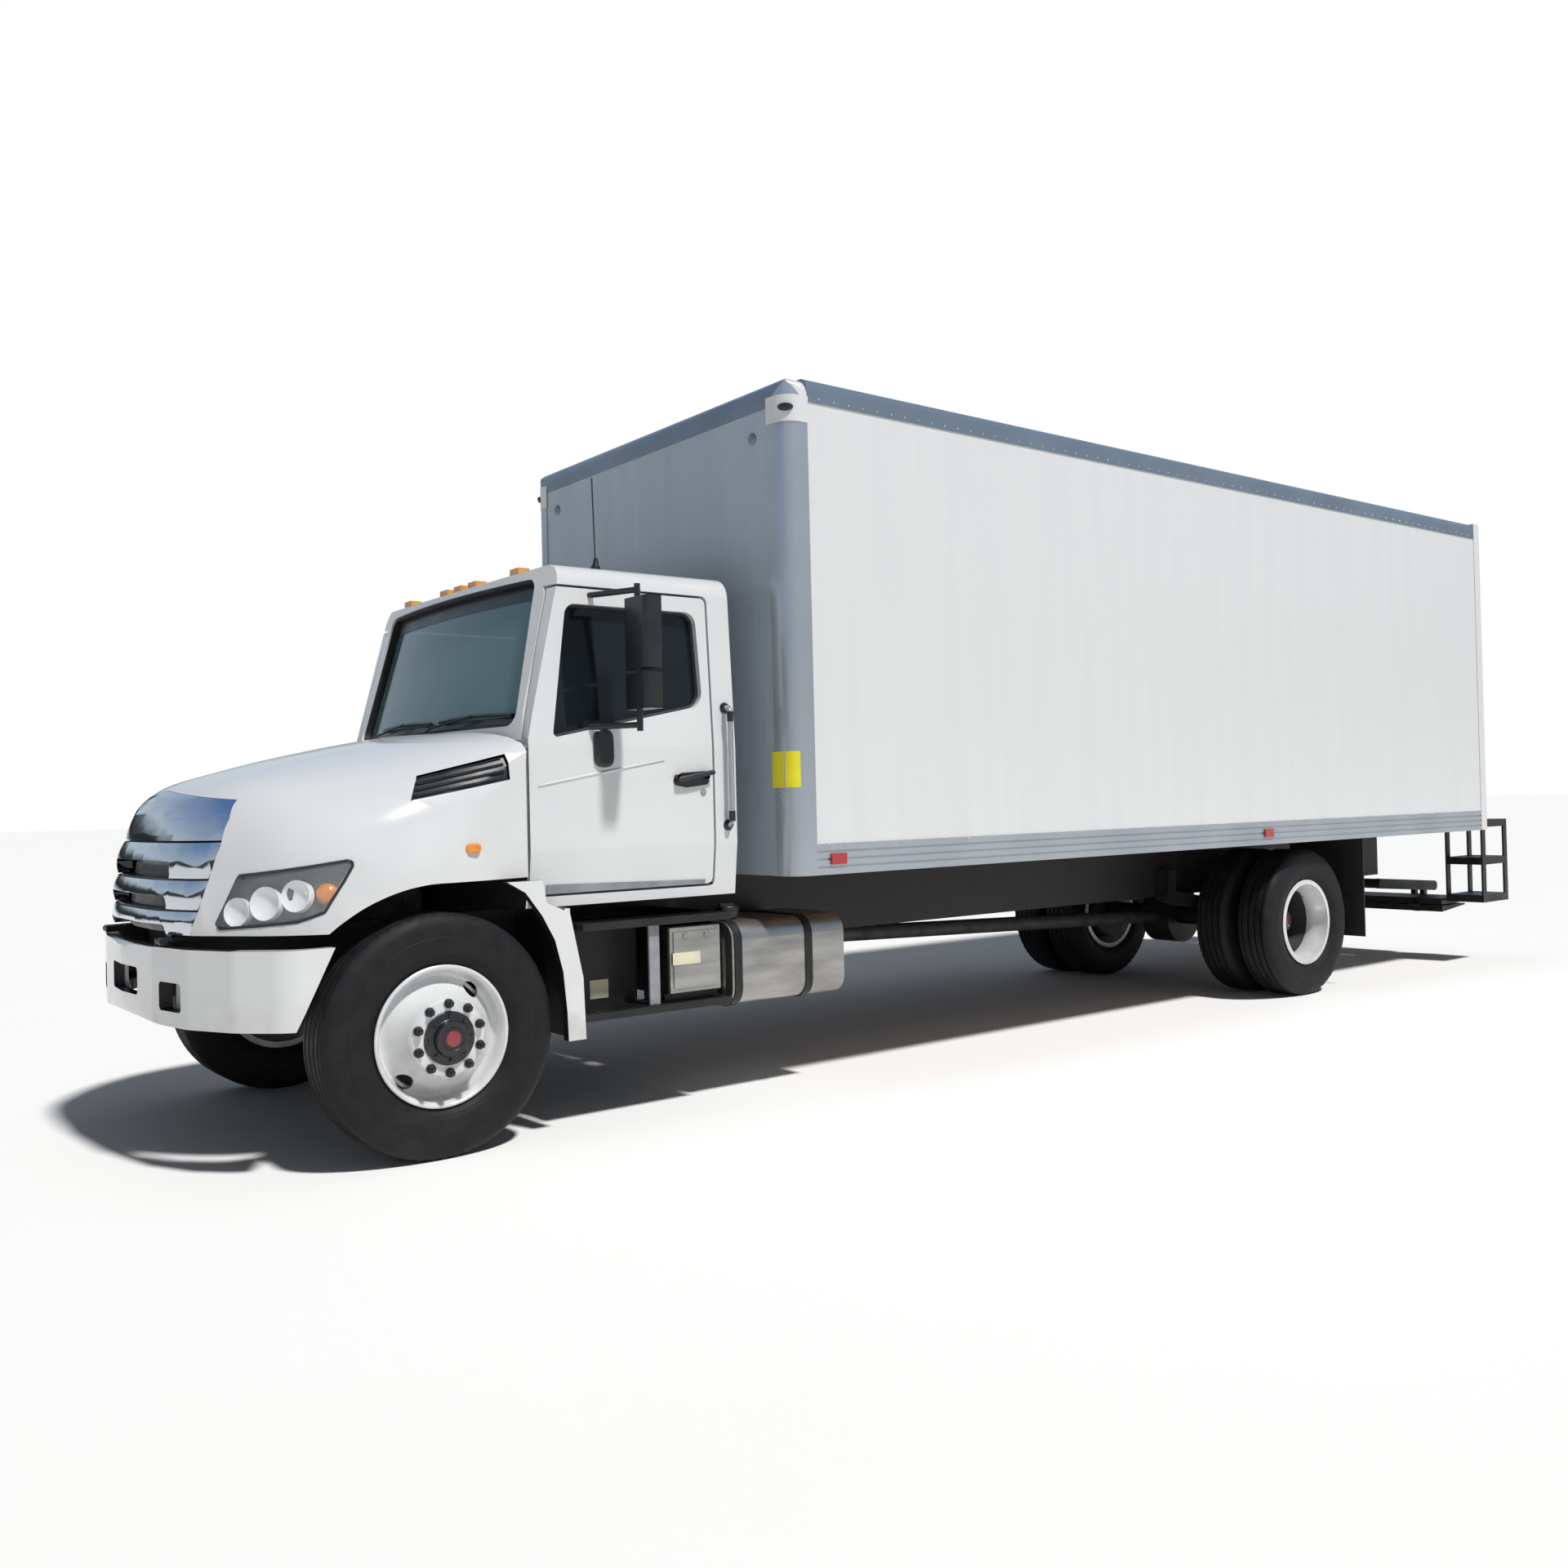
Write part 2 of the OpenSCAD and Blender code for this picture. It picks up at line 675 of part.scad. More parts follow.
module cab_nose_form(t) {
    tall = 2 * cab_top;
    intersection() {
        translate([-cowl_x - cowl_r, 0, 0]) cylinder(r = cowl_r - t, h = cowl_z - t, $fn = long_fn);
        block([-cab_rear - over, 0], [-cab_w, cab_w], [0, cowl_z]);
    }
    intersection() {
        translate([-glass_x, 0, glass_z]) rotate([0, -rake, 0]) translate([-glass_r, 0, -tall])
            cylinder(r = glass_r - t, h = 2 * tall, $fn = long_fn);
        block([-cab_rear - over, 0], [-cab_w, cab_w], [cab_bottom, tall]);
        block([-cab_rear - over, 0], [-cab_w, cab_w], [cowl_z - 2 * t - over, tall]);
    }
}

module cab_volume(t) {
    intersection() {
        section_form(-cab_rear + t, -cab_nose) polygon(rounded(cab_section(t), cab_section_radii));
        side_form(-cab_w, cab_w) polygon(rounded(cab_side(t), [0, 0, 0, roof_r, roof_r * 3, roof_r]));
        cab_nose_form(t);
    }
}

module cab_shell() {
    difference() {
        cab_volume(0);
        cab_volume(panel_t);
    }
}

function door_outline(g) = [
    [-door_front + g, sill_z - g], [-door_front + g, cowl_z], [-pillar_x + g, door_top + g],
    [-door_rear - g, door_top + g], [-door_rear - g, sill_z - g]];
module door_form(g) {
    radii = [window_r / 2, window_r, window_r / 2, window_r / 2, window_r / 2];
    side_form(-cab_w, cab_w) polygon(rounded(door_outline(g), radii));
}
module side_band(t) {
    section_form(-cab_rear - over, 0) difference() {
        translate([-cab_w, 0]) square([2 * cab_w, 2 * cab_top]);
        polygon(rounded(cab_section(t), cab_section_radii));
        translate([sill_in + t - cab_hw, 0]) square([2 * (cab_hw - sill_in - t), sill_z + over]);
    }
}
module door_hole() {
    intersection() {
        door_form(seam);
        side_band(panel_t + seam);
    }
}

window_set = 125;
window_head = 75;
window_post = 65;
window_low_share = 0.05;
window_rise_share = 0.277;
window_lean_share = 0.585;
module window_form() {
    z0 = mix(belt_z, door_top, window_low_share);
    z1 = mix(belt_z, door_top, window_rise_share);
    z2 = door_top - window_head;
    front = door_front + window_set;
    lean = (z2 - z0) * tan(rake) * window_lean_share;
    rear = door_rear - window_post;
    polygon(rounded([[-front, z0], [-front - lean, z2], [-rear, z2], [-rear - window_r / 3, z1]],
        [window_r / 3, window_r, window_r, window_r * 1.4]));
}

windshield_shares = [0.886, 0.8];
windshield_drop = 140;
module windshield_form() {
    half = windshield_shares * cab_hw;
    z0 = glass_z + seam;
    z1 = cab_top - windshield_drop;
    polygon(all_round([[-half[0], z0], [half[0], z0], [half[1], z1], [-half[1], z1]], window_r));
}

back_window_shares = [0.19, 0.825];
back_window_w_share = 0.533;
module back_window_form() {
    half = back_window_w_share * cab_hw;
    z = [for (s = back_window_shares) mix(belt_z, door_top, s)];
    polygon(all_round([[-half, z[0]], [half, z[0]], [half, z[1]], [-half, z[1]]], window_r));
}

module windshield_hole() { section_form(-roof_slope[1], -cab_nose + over) windshield_form(); }
module back_hole() { section_form(-cab_rear - over, -cab_rear + panel_t + over) back_window_form(); }

mid_x = -(door_front + door_rear) / 2;

module cab_slice(x, z) {
    intersection() {
        cab_shell();
        block(x, [-cab_w, cab_w], z);
    }
}

module door_pin(d, h) {
    translate([-door_front - door_axis[0], cab_hw - door_axis[1], sill_z - seam])
        cylinder(d = d, h = seam + h);
}

module cab_floor() {
    foot_x = -door_front - door_axis[0];
    foot_z = sill_z - seam;
    color("#eef0f1") truck() {
        difference() {
            cab_slice([-cab_rear, 0], [0, split_z]);
            door_hole();
        }
        both_sides() {
            block([foot_x - door_foot[0] / 2, foot_x + door_foot[0] / 2], [cab_hw - door_foot[1], cab_hw],
                [foot_z - door_foot[2], foot_z]);
            door_pin(door_pin_d, door_pin_h);
        }
    }
}

module cab_back() {
    color("#eef0f1") truck() difference() {
        cab_slice([-cab_rear, mid_x], [split_z, door_top]);
        door_hole();
        back_hole();
    }
}

module cab_roof() {
    color("#eef0f1") truck() difference() {
        cab_slice([-cab_rear, 0], [door_top, cab_top]);
        door_hole();
        windshield_hole();
    }
}

module cab_front() {
    color("#eef0f1") truck() difference() {
        cab_slice([mid_x, 0], [split_z, door_top]);
        door_hole();
        windshield_hole();
    }
}

module cab_glass() {
    tall = 2 * cab_top;
    color("#5f8f93", 0.6) truck() {
        intersection() {
            translate([-glass_x, 0, glass_z]) rotate([0, -rake, 0]) translate([-glass_r, 0, -tall])
                difference() {
                cylinder(r = glass_r - glass_set, h = 2 * tall, $fn = long_fn);
                translate([0, 0, -over])
                    cylinder(r = glass_r - glass_set - glass_t, h = 2 * tall + 2 * over, $fn = long_fn);
            }
            windshield_hole();
        }
        intersection() {
            back_hole();
            block([-cab_rear + glass_set, -cab_rear + glass_set + glass_t], [-cab_w, cab_w], [0, cab_top]);
        }
    }
}

dash_low = 1430;
dash_rear = 770;
dash_top = cowl_z - panel_t;
wheel_seat_y = 450;
steer_d = 450;
steer_tube = 32;
steer_tilt = 32;
steer_x = 880;
steer_z = 1700;

module dashboard() {
    side = [[-cab_nose, dash_low], [-dash_rear + panel_t, dash_low], [-dash_rear, dash_low + panel_t * 2],
        [-dash_rear + panel_t / 2, dash_top - panel_t], [-dash_rear + panel_t * 2, dash_top],
        [-cab_nose, dash_top]];
    color("#3a3d40") truck() {
        intersection() {
            side_form(-cab_hw + 2 * panel_t, cab_hw - 2 * panel_t)
                polygon(rounded(side, [0, window_r / 2, window_r / 2, window_r / 2, window_r / 2, 0]));
            cab_volume(panel_t);
        }
        translate([-steer_x, wheel_seat_y, steer_z]) rotate([0, -90 + steer_tilt, 0]) {
            rotate_extrude() translate([steer_d / 2, 0]) circle(d = steer_tube);
            for (a = [0, 120, 240]) rotate([0, 0, a]) rotate([0, 90, 0])
                cylinder(d = steer_tube / 2, h = steer_d / 2);
            translate([0, 0, -steer_tube / 2]) cylinder(d = steer_d / 3, h = steer_tube);
            translate([0, 0, -steer_d]) cylinder(d = 2 * steer_tube, h = steer_d);
        }
    }
}

seat_x = [1010, 1520];
seat_h = 380;
seat_pad = 130;
seat_back_top = 2080;
seat_w = [520, 860];
seat_y = [450, -390];

module seats() {
    z0 = sill_z;
    z1 = z0 + seat_h;
    front = -seat_x[0];
    rear = -seat_x[1];
    r = window_r / 2;
    profile = [[rear + seat_pad / 2, z0], [front - seat_pad, z0], [front - seat_pad, z1 - seat_pad],
        [front, z1 - seat_pad], [front, z1], [rear + seat_pad * 3 / 2, z1 - seat_pad / 4],
        [rear + seat_pad, seat_back_top], [rear, seat_back_top], [rear + seat_pad / 2, z1]];
    color("#55585c") truck() for (i = [0, 1])
        side_form(seat_y[i] - seat_w[i] / 2, seat_y[i] + seat_w[i] / 2)
            polygon(rounded(profile, [0, 0, 0, r, r, r, r, r, 0]));
}

module door() {
    difference() {
        intersection() {
            cab_volume(0);
            door_form(0);
            side_band(panel_t);
            block([-cab_rear, 0], [0, cab_w], [0, cab_top]);
        }
        side_form(0, cab_w) window_form();
        door_pin(door_pin_d + 2 * fit, door_pin_h + door_pin_d);
    }
}
module door_left() { color("#eef0f1") truck() door(); }
module door_right() { color("#eef0f1") truck() right_side() door(); }

module door_glass() {
    intersection() {
        side_form(0, cab_w) window_form();
        section_form(-cab_rear, 0) difference() {
            polygon(rounded(cab_section(glass_set), cab_section_radii));
            polygon(rounded(cab_section(glass_set + glass_t), cab_section_radii));
        }
    }
}
module door_glass_left() { color("#3e5458", 0.6) truck() door_glass(); }
module door_glass_right() { color("#3e5458", 0.6) truck() right_side() door_glass(); }

mirror_x = 930;
mirror_y = 1270;
mirror_tube = 28;
mirror_arm_x = [800, 735];
mirror_arm_shares = [0.96, 0.12];
mirror_head = [90, 200];
mirror_main_shares = [0.466, 0.912];
mirror_spot_shares = [0.216, 0.439];

mirror_inner_share = 0.45;
mirror_front_share = 0.3;

module mirror_case(shares) {
    x = [-mirror_x - mirror_head[0] * (1 - mirror_front_share),
        -mirror_x + mirror_head[0] * mirror_front_share];
    y = [mirror_y - mirror_head[1] * mirror_inner_share,
        mirror_y + mirror_head[1] * (1 - mirror_inner_share)];
    plan_form(mix(belt_z, door_top, shares[0]), mix(belt_z, door_top, shares[1]))
        polygon(rounded([[x[0], y[0]], [x[1], y[0]], [x[1], y[1]], [x[0], y[1]]],
            [mirror_head[0] / 8, mirror_head[0] / 3, mirror_head[0] / 3, mirror_head[0] / 8]));
}

module mirror_set() {
    arm_z = [for (s = mirror_arm_shares) mix(belt_z, door_top, s)];
    difference() {
        union() {
            mirror_case(mirror_main_shares);
            mirror_case(mirror_spot_shares);
            translate([-mirror_x, mirror_y, arm_z[1] - mirror_tube])
                cylinder(d = mirror_tube, h = arm_z[0] - arm_z[1] + 2 * mirror_tube);
            for (i = [0, 1])
                rod([-mirror_arm_x[i], cab_hw - panel_t * 2, arm_z[i]], [-mirror_x, mirror_y, arm_z[i]],
                    mirror_tube);
        }
        cab_volume(0);
    }
}
module mirror_left() { color("#1b1c1e") truck() mirror_set(); }
module mirror_right() { color("#1b1c1e") truck() right_side() mirror_set(); }

// Hood: one skin through the table's sections
function row_at(rows, i) = rows[max(0, min(len(rows) - 1, i))];
function row_between(rows, i, s) =
    let (a = row_at(rows, i - 1), b = row_at(rows, i), c = row_at(rows, i + 1), d = row_at(rows, i + 2))
    b + (c - a) * s / 2 + (2 * a - 5 * b + 4 * c - d) * s * s / 2 + (3 * b - a - 3 * c + d) * s * s * s / 2;
function hood_rows() = concat(
    [for (i = [0 : len(hood_shares) - 2])
        for (k = [0 : hood_steps - 1]) row_between(hood_shares, i, k / hood_steps)],
    [hood_shares[len(hood_shares) - 1]]);
function bend(a, b, c, s) = a * (1 - s) * (1 - s) + b * 2 * s * (1 - s) + c * s * s;

function hood_half(row, t, low) =
    let (high = row[6] * hood_h, w = fender_w / 2 - t / row[1], h = hood_h * max(t / 2, high - t) / high,
        p0 = [row[1] * w, low], p1 = [row[2] * w, hood_bottom + row[3] * h],
        p2 = [row[4] * w, hood_bottom + row[5] * h], top = hood_bottom + row[6] * h,
        m = [p2.x * crown_shares[0], mix(top, p2.y, crown_shares[1])], via = 2 * p2 - (p1 + m) / 2)
    concat([p0], [for (k = [0 : curve_steps]) bend(p1, via, m, k / curve_steps)], [[0, top]]);
function hood_ring(row, t, low) =
    let (half = hood_half(row, t, low))
    concat(half, [for (p = reversed(half)) if (p.x > 0) [-p.x, p.y]]);

module hood_solid(t, low, rear) {
    rows = hood_rows();
    xs = [for (i = [0 : len(rows) - 1])
        i == 0 ? -hood_rear - rear : -hood_rear + rows[i][0] * (hood_len - t)];
    rings = [for (i = [0 : len(rows) - 1]) [for (p = hood_ring(rows[i], t, low)) [xs[i], p.x, p.y]]];
    n = len(rings[0]);
    last = len(rings) - 1;
    polyhedron(
        points = [for (ring = rings) each ring],
        faces = concat(
            [[for (j = [0 : n - 1]) j]],
            [for (i = [0 : last - 1]) for (j = [0 : n - 1])
                each [[i * n + j, (i + 1) * n + j, (i + 1) * n + (j + 1) % n],
                    [i * n + j, (i + 1) * n + (j + 1) % n, i * n + (j + 1) % n]]],
            [[for (j = [n - 1 : -1 : 0]) last * n + j]]));
}

module hood_skin(t0, t1) {
    difference() {
        hood_solid(t0, hood_bottom, 0);
        hood_solid(t1, hood_bottom - over, over);
    }
}

module arch_form() {
    top_z = axle_z + tyre_d / 2 + arch_gap;
    side_form(-fender_w, fender_w) union() {
        translate([0, axle_z]) circle(r = tyre_d / 2 + arch_gap);
        translate([-hood_rear - over, 0]) square([hood_rear + over, top_z]);
    }
}

// Front outline of the grille: the edge table up each side, an arch over the top
module grille_form(g) {
    edge = [for (p = grille_edge_shares) [p.y * grille_w / 2 - g, mix(hood_bottom, grille_top, p.x)]];
    tip = edge[len(edge) - 1];
    arch = [for (i = [arc_steps - 1 : -1 : 1 - arc_steps])
        let (s = i / arc_steps) [s * tip.x, tip.y - g + grille_crown * (1 - abs(s))]];
    foot = [edge[0].x, hood_bottom - over];
    section_form(hood_len / 4, front_overhang) polygon(concat(
        [[-foot.x, foot.y], foot], [for (p = edge) [p.x, min(p.y, tip.y - g)]], arch,
        [for (p = reversed(edge)) [-p.x, min(p.y, tip.y - g)]]));
}

module lamp_form(g) {
    pts = [for (p = lamp_shares) [-hood_rear + p.x * hood_len, hood_bottom + p.y * hood_h]];
    mid = (pts[0] + pts[1] + pts[2] + pts[3] + pts[4]) / len(pts);
    difference() {
        side_form(grille_w / 2 - panel_t, fender_w)
            polygon(all_round([for (p = pts) p + g * unit(mid - p)], lamp_r));
        grille_form(-lamp_strip - g);
    }
}

module cowl_cut() {
    translate([-cowl_x + cowl_gap - cowl_r, 0, 0])
        cylinder(r = cowl_r, h = 2 * hood_top, $fn = long_fn);
}

module hood() {
    color("#f2f4f5") truck() difference() {
        hood_skin(0, hood_t);
        arch_form();
        grille_form(0);
        both_sides() lamp_form(0);
        cowl_cut();
        both_sides() difference() {
            side_form(cab_hw / 2, fender_w)
                polygon([for (p = vent_shares) [-hood_rear + p.x * hood_len, hood_bottom + p.y * hood_h]]);
            hood_solid(vent_in, hood_bottom, 0);
        }
    }
}

function grille_z(share) = mix(hood_bottom, grille_top, share);

module grille_opening(s) {
    z0 = s[0] == 0 ? hood_bottom - over : grille_z(s[0]);
    z1 = grille_z(s[1]);
    half = opening_w / 2;
    polygon(all_round([[-half, z0], [half, z0], [half, z1], [-half, z1]], opening_r));
}

module grille() {
    color("#c9ced3") truck() difference() {
        intersection() {
            hood_skin(skin_fit, grille_t);
            grille_form(lamp_fit);
        }
        section_form(0, front_overhang) for (s = opening_shares) grille_opening(s);
        difference() {
            for (s = groove_shares)
                block([0, front_overhang], [-grille_w, grille_w],
                    [grille_z(s) - groove_w / 2, grille_z(s) + groove_w / 2]);
            hood_solid(groove_t, hood_bottom - over, 0);
        }
    }
}

module grille_screen() {
    low = hood_bottom - over;
    color("#101112") truck() intersection() {
        difference() {
            hood_solid(grille_t, low, 0);
            hood_solid(grille_t + screen_t, low, over);
        }
        grille_form(lamp_fit);
        block([0, front_overhang], [-grille_w, grille_w], [hood_bottom, hood_top]);
    }
}

module headlamps() {
    color("#d5dde2") truck() both_sides() intersection() {
        hood_skin(skin_fit, lamp_t);
        lamp_form(lamp_fit);
    }
}

module hood_hinge() {
    y = [frame_hw + hinge_plate + fit, frame_hw + hinge_plate + hinge_run];
    grip_x = hood_pivot_x - hinge_grip;
    color("#1b1c1e") truck() both_sides() difference() {
        union() {
            translate([hood_pivot_x, 0, hood_pivot_z]) rod_y(hinge_eye_d, y[0], y[1]);
            block([grip_x, hood_pivot_x], y, [hood_pivot_z, hood_pivot_z + hinge_eye_d / 2]);
            intersection() {
                block([grip_x, hood_pivot_x - hinge_eye_d], y, [hood_pivot_z, hood_bottom + hood_h / 8]);
                hood_solid(grille_t + screen_t, hood_bottom - over, 0);
            }
        }
        translate([hood_pivot_x, 0, hood_pivot_z]) rod_y(hinge_pin_d + 2 * fit, 0, fender_w);
    }
}

// Steering
module knuckle() {
    body_y = kingpin_y + eye_d / 2 + 2 * knuckle_gap;
    half_h = eye_h / 2 + knuckle_gap + lug_h;
    ball = [-tie_x, kingpin_y, 0];
    arm_z = axle_z - half_h;
    for (z = [axle_z + eye_h / 2 + knuckle_gap, axle_z - half_h]) {
        translate([0, kingpin_y, z]) cylinder(d = eye_d, h = lug_h);
        block([-eye_d / 2, eye_d / 2], [kingpin_y, body_y + knuckle_t], [z, z + lug_h]);
    }
    translate([0, kingpin_y, axle_z - half_h]) cylinder(d = pin_d, h = 2 * half_h);
    block([-knuckle_w / 2, knuckle_w / 2], [body_y, body_y + knuckle_t], [axle_z - half_h, axle_z + half_h]);
    translate([0, 0, axle_z]) {
        rod_y(plate_d, body_y + knuckle_t - plate_t, body_y + knuckle_t);
        rod_y(spindle_d, body_y, front_track + disc_out - disc_t);
    }
    block([-tie_x, 0], [kingpin_y - arm_w / 2, kingpin_y + arm_w / 2], [arm_z, arm_z + arm_h]);
    translate(ball + [0, 0, arm_z - socket_h]) cylinder(d = stud_d, h = socket_h + arm_h);
    translate(ball + [0, 0, arm_z]) cylinder(d = arm_w, h = arm_h);
}
module knuckle_left() { color("#2a2b2d") truck() knuckle(); }
module knuckle_right() { color("#2a2b2d") truck() right_side() knuckle(); }

module tie_rod() {
    arm_z = axle_z - eye_h / 2 - knuckle_gap - lug_h;
    ball_y = kingpin_y;
    color("#2a2b2d") truck() translate([-tie_x, 0, arm_z - socket_h - fit]) difference() {
        union() {
            both_sides() translate([0, ball_y, 0]) cylinder(d = socket_d, h = socket_h);
            translate([0, 0, socket_h / 2]) rod_y(rod_d, -ball_y, ball_y);
        }
        both_sides() translate([0, ball_y, -over]) cylinder(d = stud_d + 2 * fit, h = socket_h + 2 * over);
    }
}

// Wheels, drawn about the Y axis with the outside towards +Y
function rim_profile() =
    let (r = rim_d / 2, h = rim_w / 2, f = h - flange_t, b = h - flange_t - bead_w)
    [[r, -h], [r, -f], [bead_r, -f], [bead_r, -b], [well_r, -well_w / 2], [well_r, well_w / 2], [bead_r, b],
        [bead_r, f], [r, f], [r, h], [bead_r - rim_t, h], [bead_r - rim_t, b], [well_r - rim_t, well_w / 2],
        [well_r - rim_t, -well_w / 2], [bead_r - rim_t, -b], [bead_r - rim_t, -h]];

module rim(out) {
    edge_r = well_r - rim_t + skin_fit;
    knee_r = hole_r - hole_d;
    disc = [[edge_r, disc_edge], [edge_r - disc_t, disc_edge + 2 * disc_t], [knee_r, disc_out - disc_t / 2],
        [hub_r, disc_out], [hub_r, disc_out - disc_t], [knee_r - disc_t / 2, disc_out - disc_t * 3 / 2],
        [edge_r - 2 * disc_t, disc_edge + disc_t], [edge_r, disc_edge - disc_t]];
    revolve_y() polygon(rim_profile());
    difference() {
        revolve_y() polygon([for (p = disc) [p.x, out * p.y]]);
        for (a = [52, 232]) rotate([0, a, 0]) translate([hole_r, 0, 0]) rod_y(hole_d, -rim_w, rim_w);
    }
}

module front_wheel() {
    y0 = kingpin_y + eye_d / 2 + 2 * knuckle_gap + knuckle_t + drum_clear - front_track;
    hub = [[spindle_d / 2 + fit, y0], [drum_r, y0], [drum_r, y0 + drum_w], [hub_r, y0 + drum_w],
        [hub_r, disc_out + disc_t], [cap_r, disc_out + disc_t],
        [cap_r * cap_taper_share, disc_out + cap_out], [0, disc_out + cap_out],
        [0, disc_out - disc_t + knuckle_gap], [spindle_d / 2 + fit, disc_out - disc_t + knuckle_gap]];
    color("#eceeef") truck() translate([0, front_track, axle_z]) {
        rim(1);
        revolve_y() polygon(hub);
    }
}
module wheel_front_left() { front_wheel(); }
module wheel_front_right() { right_side() front_wheel(); }

function tyre_profile() =
    let (r = tyre_d / 2, h = tyre_w / 2, foot = rim_w / 2 - flange_t - tyre_fit, inner = bead_r + fit,
        belly = mix(inner, r, side_share))
    let (half = [[inner, foot], [rim_d / 2 + flange_t / 2, foot], [belly, h],
            [r - shoulder_in, h - shoulder_drop], [r, h - shoulder_in]],
        radii = [0, 0, tyre_w / 4, shoulder_in / 2, shoulder_in / 2])
    rounded(concat(half, [for (p = reversed(half)) [p.x, -p.y]]), concat(radii, reversed(radii)));

module tyre() { revolve_y() polygon(tyre_profile()); }
module tyre_front() { color("#1e1f20") truck() translate([0, front_track, axle_z]) tyre(); }
module tyre_front_left() { tyre_front(); }
module tyre_front_right() { right_side() tyre_front(); }

module rear_wheel() {
    in_y = -dual_spacing - rim_w / 2 + hub_in;
    mid_y = -dual_spacing / 2;
    hub = [[axle_end_d / 2 + fit, in_y], [drum_r, in_y], [drum_r, in_y + drum_w], [hub_r, in_y + drum_w],
        [hub_r, mid_y + axle_end_out / 2], [cap_r, mid_y + axle_end_out], [cap_r, mid_y + 2 * axle_end_out],
        [0, mid_y + 2 * axle_end_out], [0, mid_y + axle_end_out + knuckle_gap],
        [axle_end_d / 2 + fit, mid_y + axle_end_out + knuckle_gap]];
    color("#eceeef") truck() translate([-wheelbase, rear_track, axle_z]) {
        rim(-1);
        translate([0, -dual_spacing, 0]) rim(1);
        revolve_y() polygon(hub);
    }
}
module wheel_rear_left() { rear_wheel(); }
module wheel_rear_right() { right_side() rear_wheel(); }

module tyres_rear() {
    color("#1e1f20") truck() translate([-wheelbase, rear_track, axle_z]) {
        tyre();
        translate([0, -dual_spacing, 0]) tyre();
    }
}
module tyres_rear_left() { tyres_rear(); }
module tyres_rear_right() { right_side() tyres_rear(); }

// Van body
module box_floor() {
    count = floor((box_len - rear_post_d) / cross_pitch);
    inner = box_hw - wall_t;
    color("#8b7355") truck() {
        block([box_x0 + rear_post_d, box_x1 - wall_t], [-inner, inner], [floor_top - floor_t, floor_top]);
        for (i = [0 : count - 1])
            translate([box_x1 - wall_t - (i + 1 / 2) * cross_pitch, 0, 0])
                block([-cross_beam_w / 2, cross_beam_w / 2], [-inner, inner],
                    [box_bottom, floor_top - floor_t]);
    }
}

module box_side() {
    block([box_x0 + rear_post_d, box_x1 - post_w], [box_hw - wall_t, box_hw - rail_groove],
        [box_bottom + bottom_rail_h, box_top - top_rail_h]);
}
module box_side_left() { color("#f0f1f2") truck() box_side(); }
module box_side_right() { color("#f0f1f2") truck() right_side() box_side(); }

module box_front_wall() {
    color("#dfe4ea") truck()
        block([box_x1 - wall_t, box_x1 - rail_groove], [post_w - box_hw, box_hw - post_w],
            [box_bottom, box_top - post_w]);
}

module box_roof() {
    color("#e3e5e7") truck() difference() {
        block([box_x0 + rear_post_d, box_x1 - top_leg], [top_leg - box_hw, box_hw - top_leg],
            [box_top - roof_t - rail_groove, box_top - rail_groove]);
        both_sides() block([box_x1 - post_w, box_x1], [box_hw - post_w, box_hw], [0, box_top]);
    }
}

module top_rail_form() {
    polygon(rounded([[box_hw, box_top - top_rail_h], [box_hw, box_top], [box_hw - top_leg, box_top],
        [box_hw - top_leg, box_top - roof_t - rail_groove], [box_hw - wall_t, box_top - roof_t - rail_groove],
        [box_hw - wall_t, box_top - top_rail_h]], [0, top_leg / 2, 0, 0, 0, 0]));
}

module box_rails() {
    groove_pitch = bottom_rail_h / (groove_count + 1);
    color("#a9aeb3") truck() both_sides() {
        section_form(box_x0 + rear_post_d, box_x1 - post_w) difference() {
            translate([box_hw - wall_t, box_bottom]) square([wall_t, bottom_rail_h]);
            for (i = [1 : groove_count])
                translate([box_hw - rail_groove, box_bottom + i * groove_pitch - rail_groove])
                    square([rail_groove + over, 2 * rail_groove]);
        }
        section_form(box_x0 + rear_post_d, box_x1 - post_w) top_rail_form();
    }
}

module post_plan(t) {
    polygon(rounded([[box_x1 - t, box_hw - post_w], [box_x1 - t, box_hw - t], [box_x1 - post_w, box_hw - t],
        [box_x1 - post_w, box_hw - wall_t], [box_x1 - wall_t, box_hw - wall_t],
        [box_x1 - wall_t, box_hw - post_w]],
        [0, corner_r, 0, 0, 0, 0]));
}
module corner_plan() {
    polygon(rounded([[box_x1, 0], [box_x1, box_hw], [box_x1 - post_w, box_hw], [box_x1 - post_w, 0]],
        [0, corner_r, 0, 0]));
}

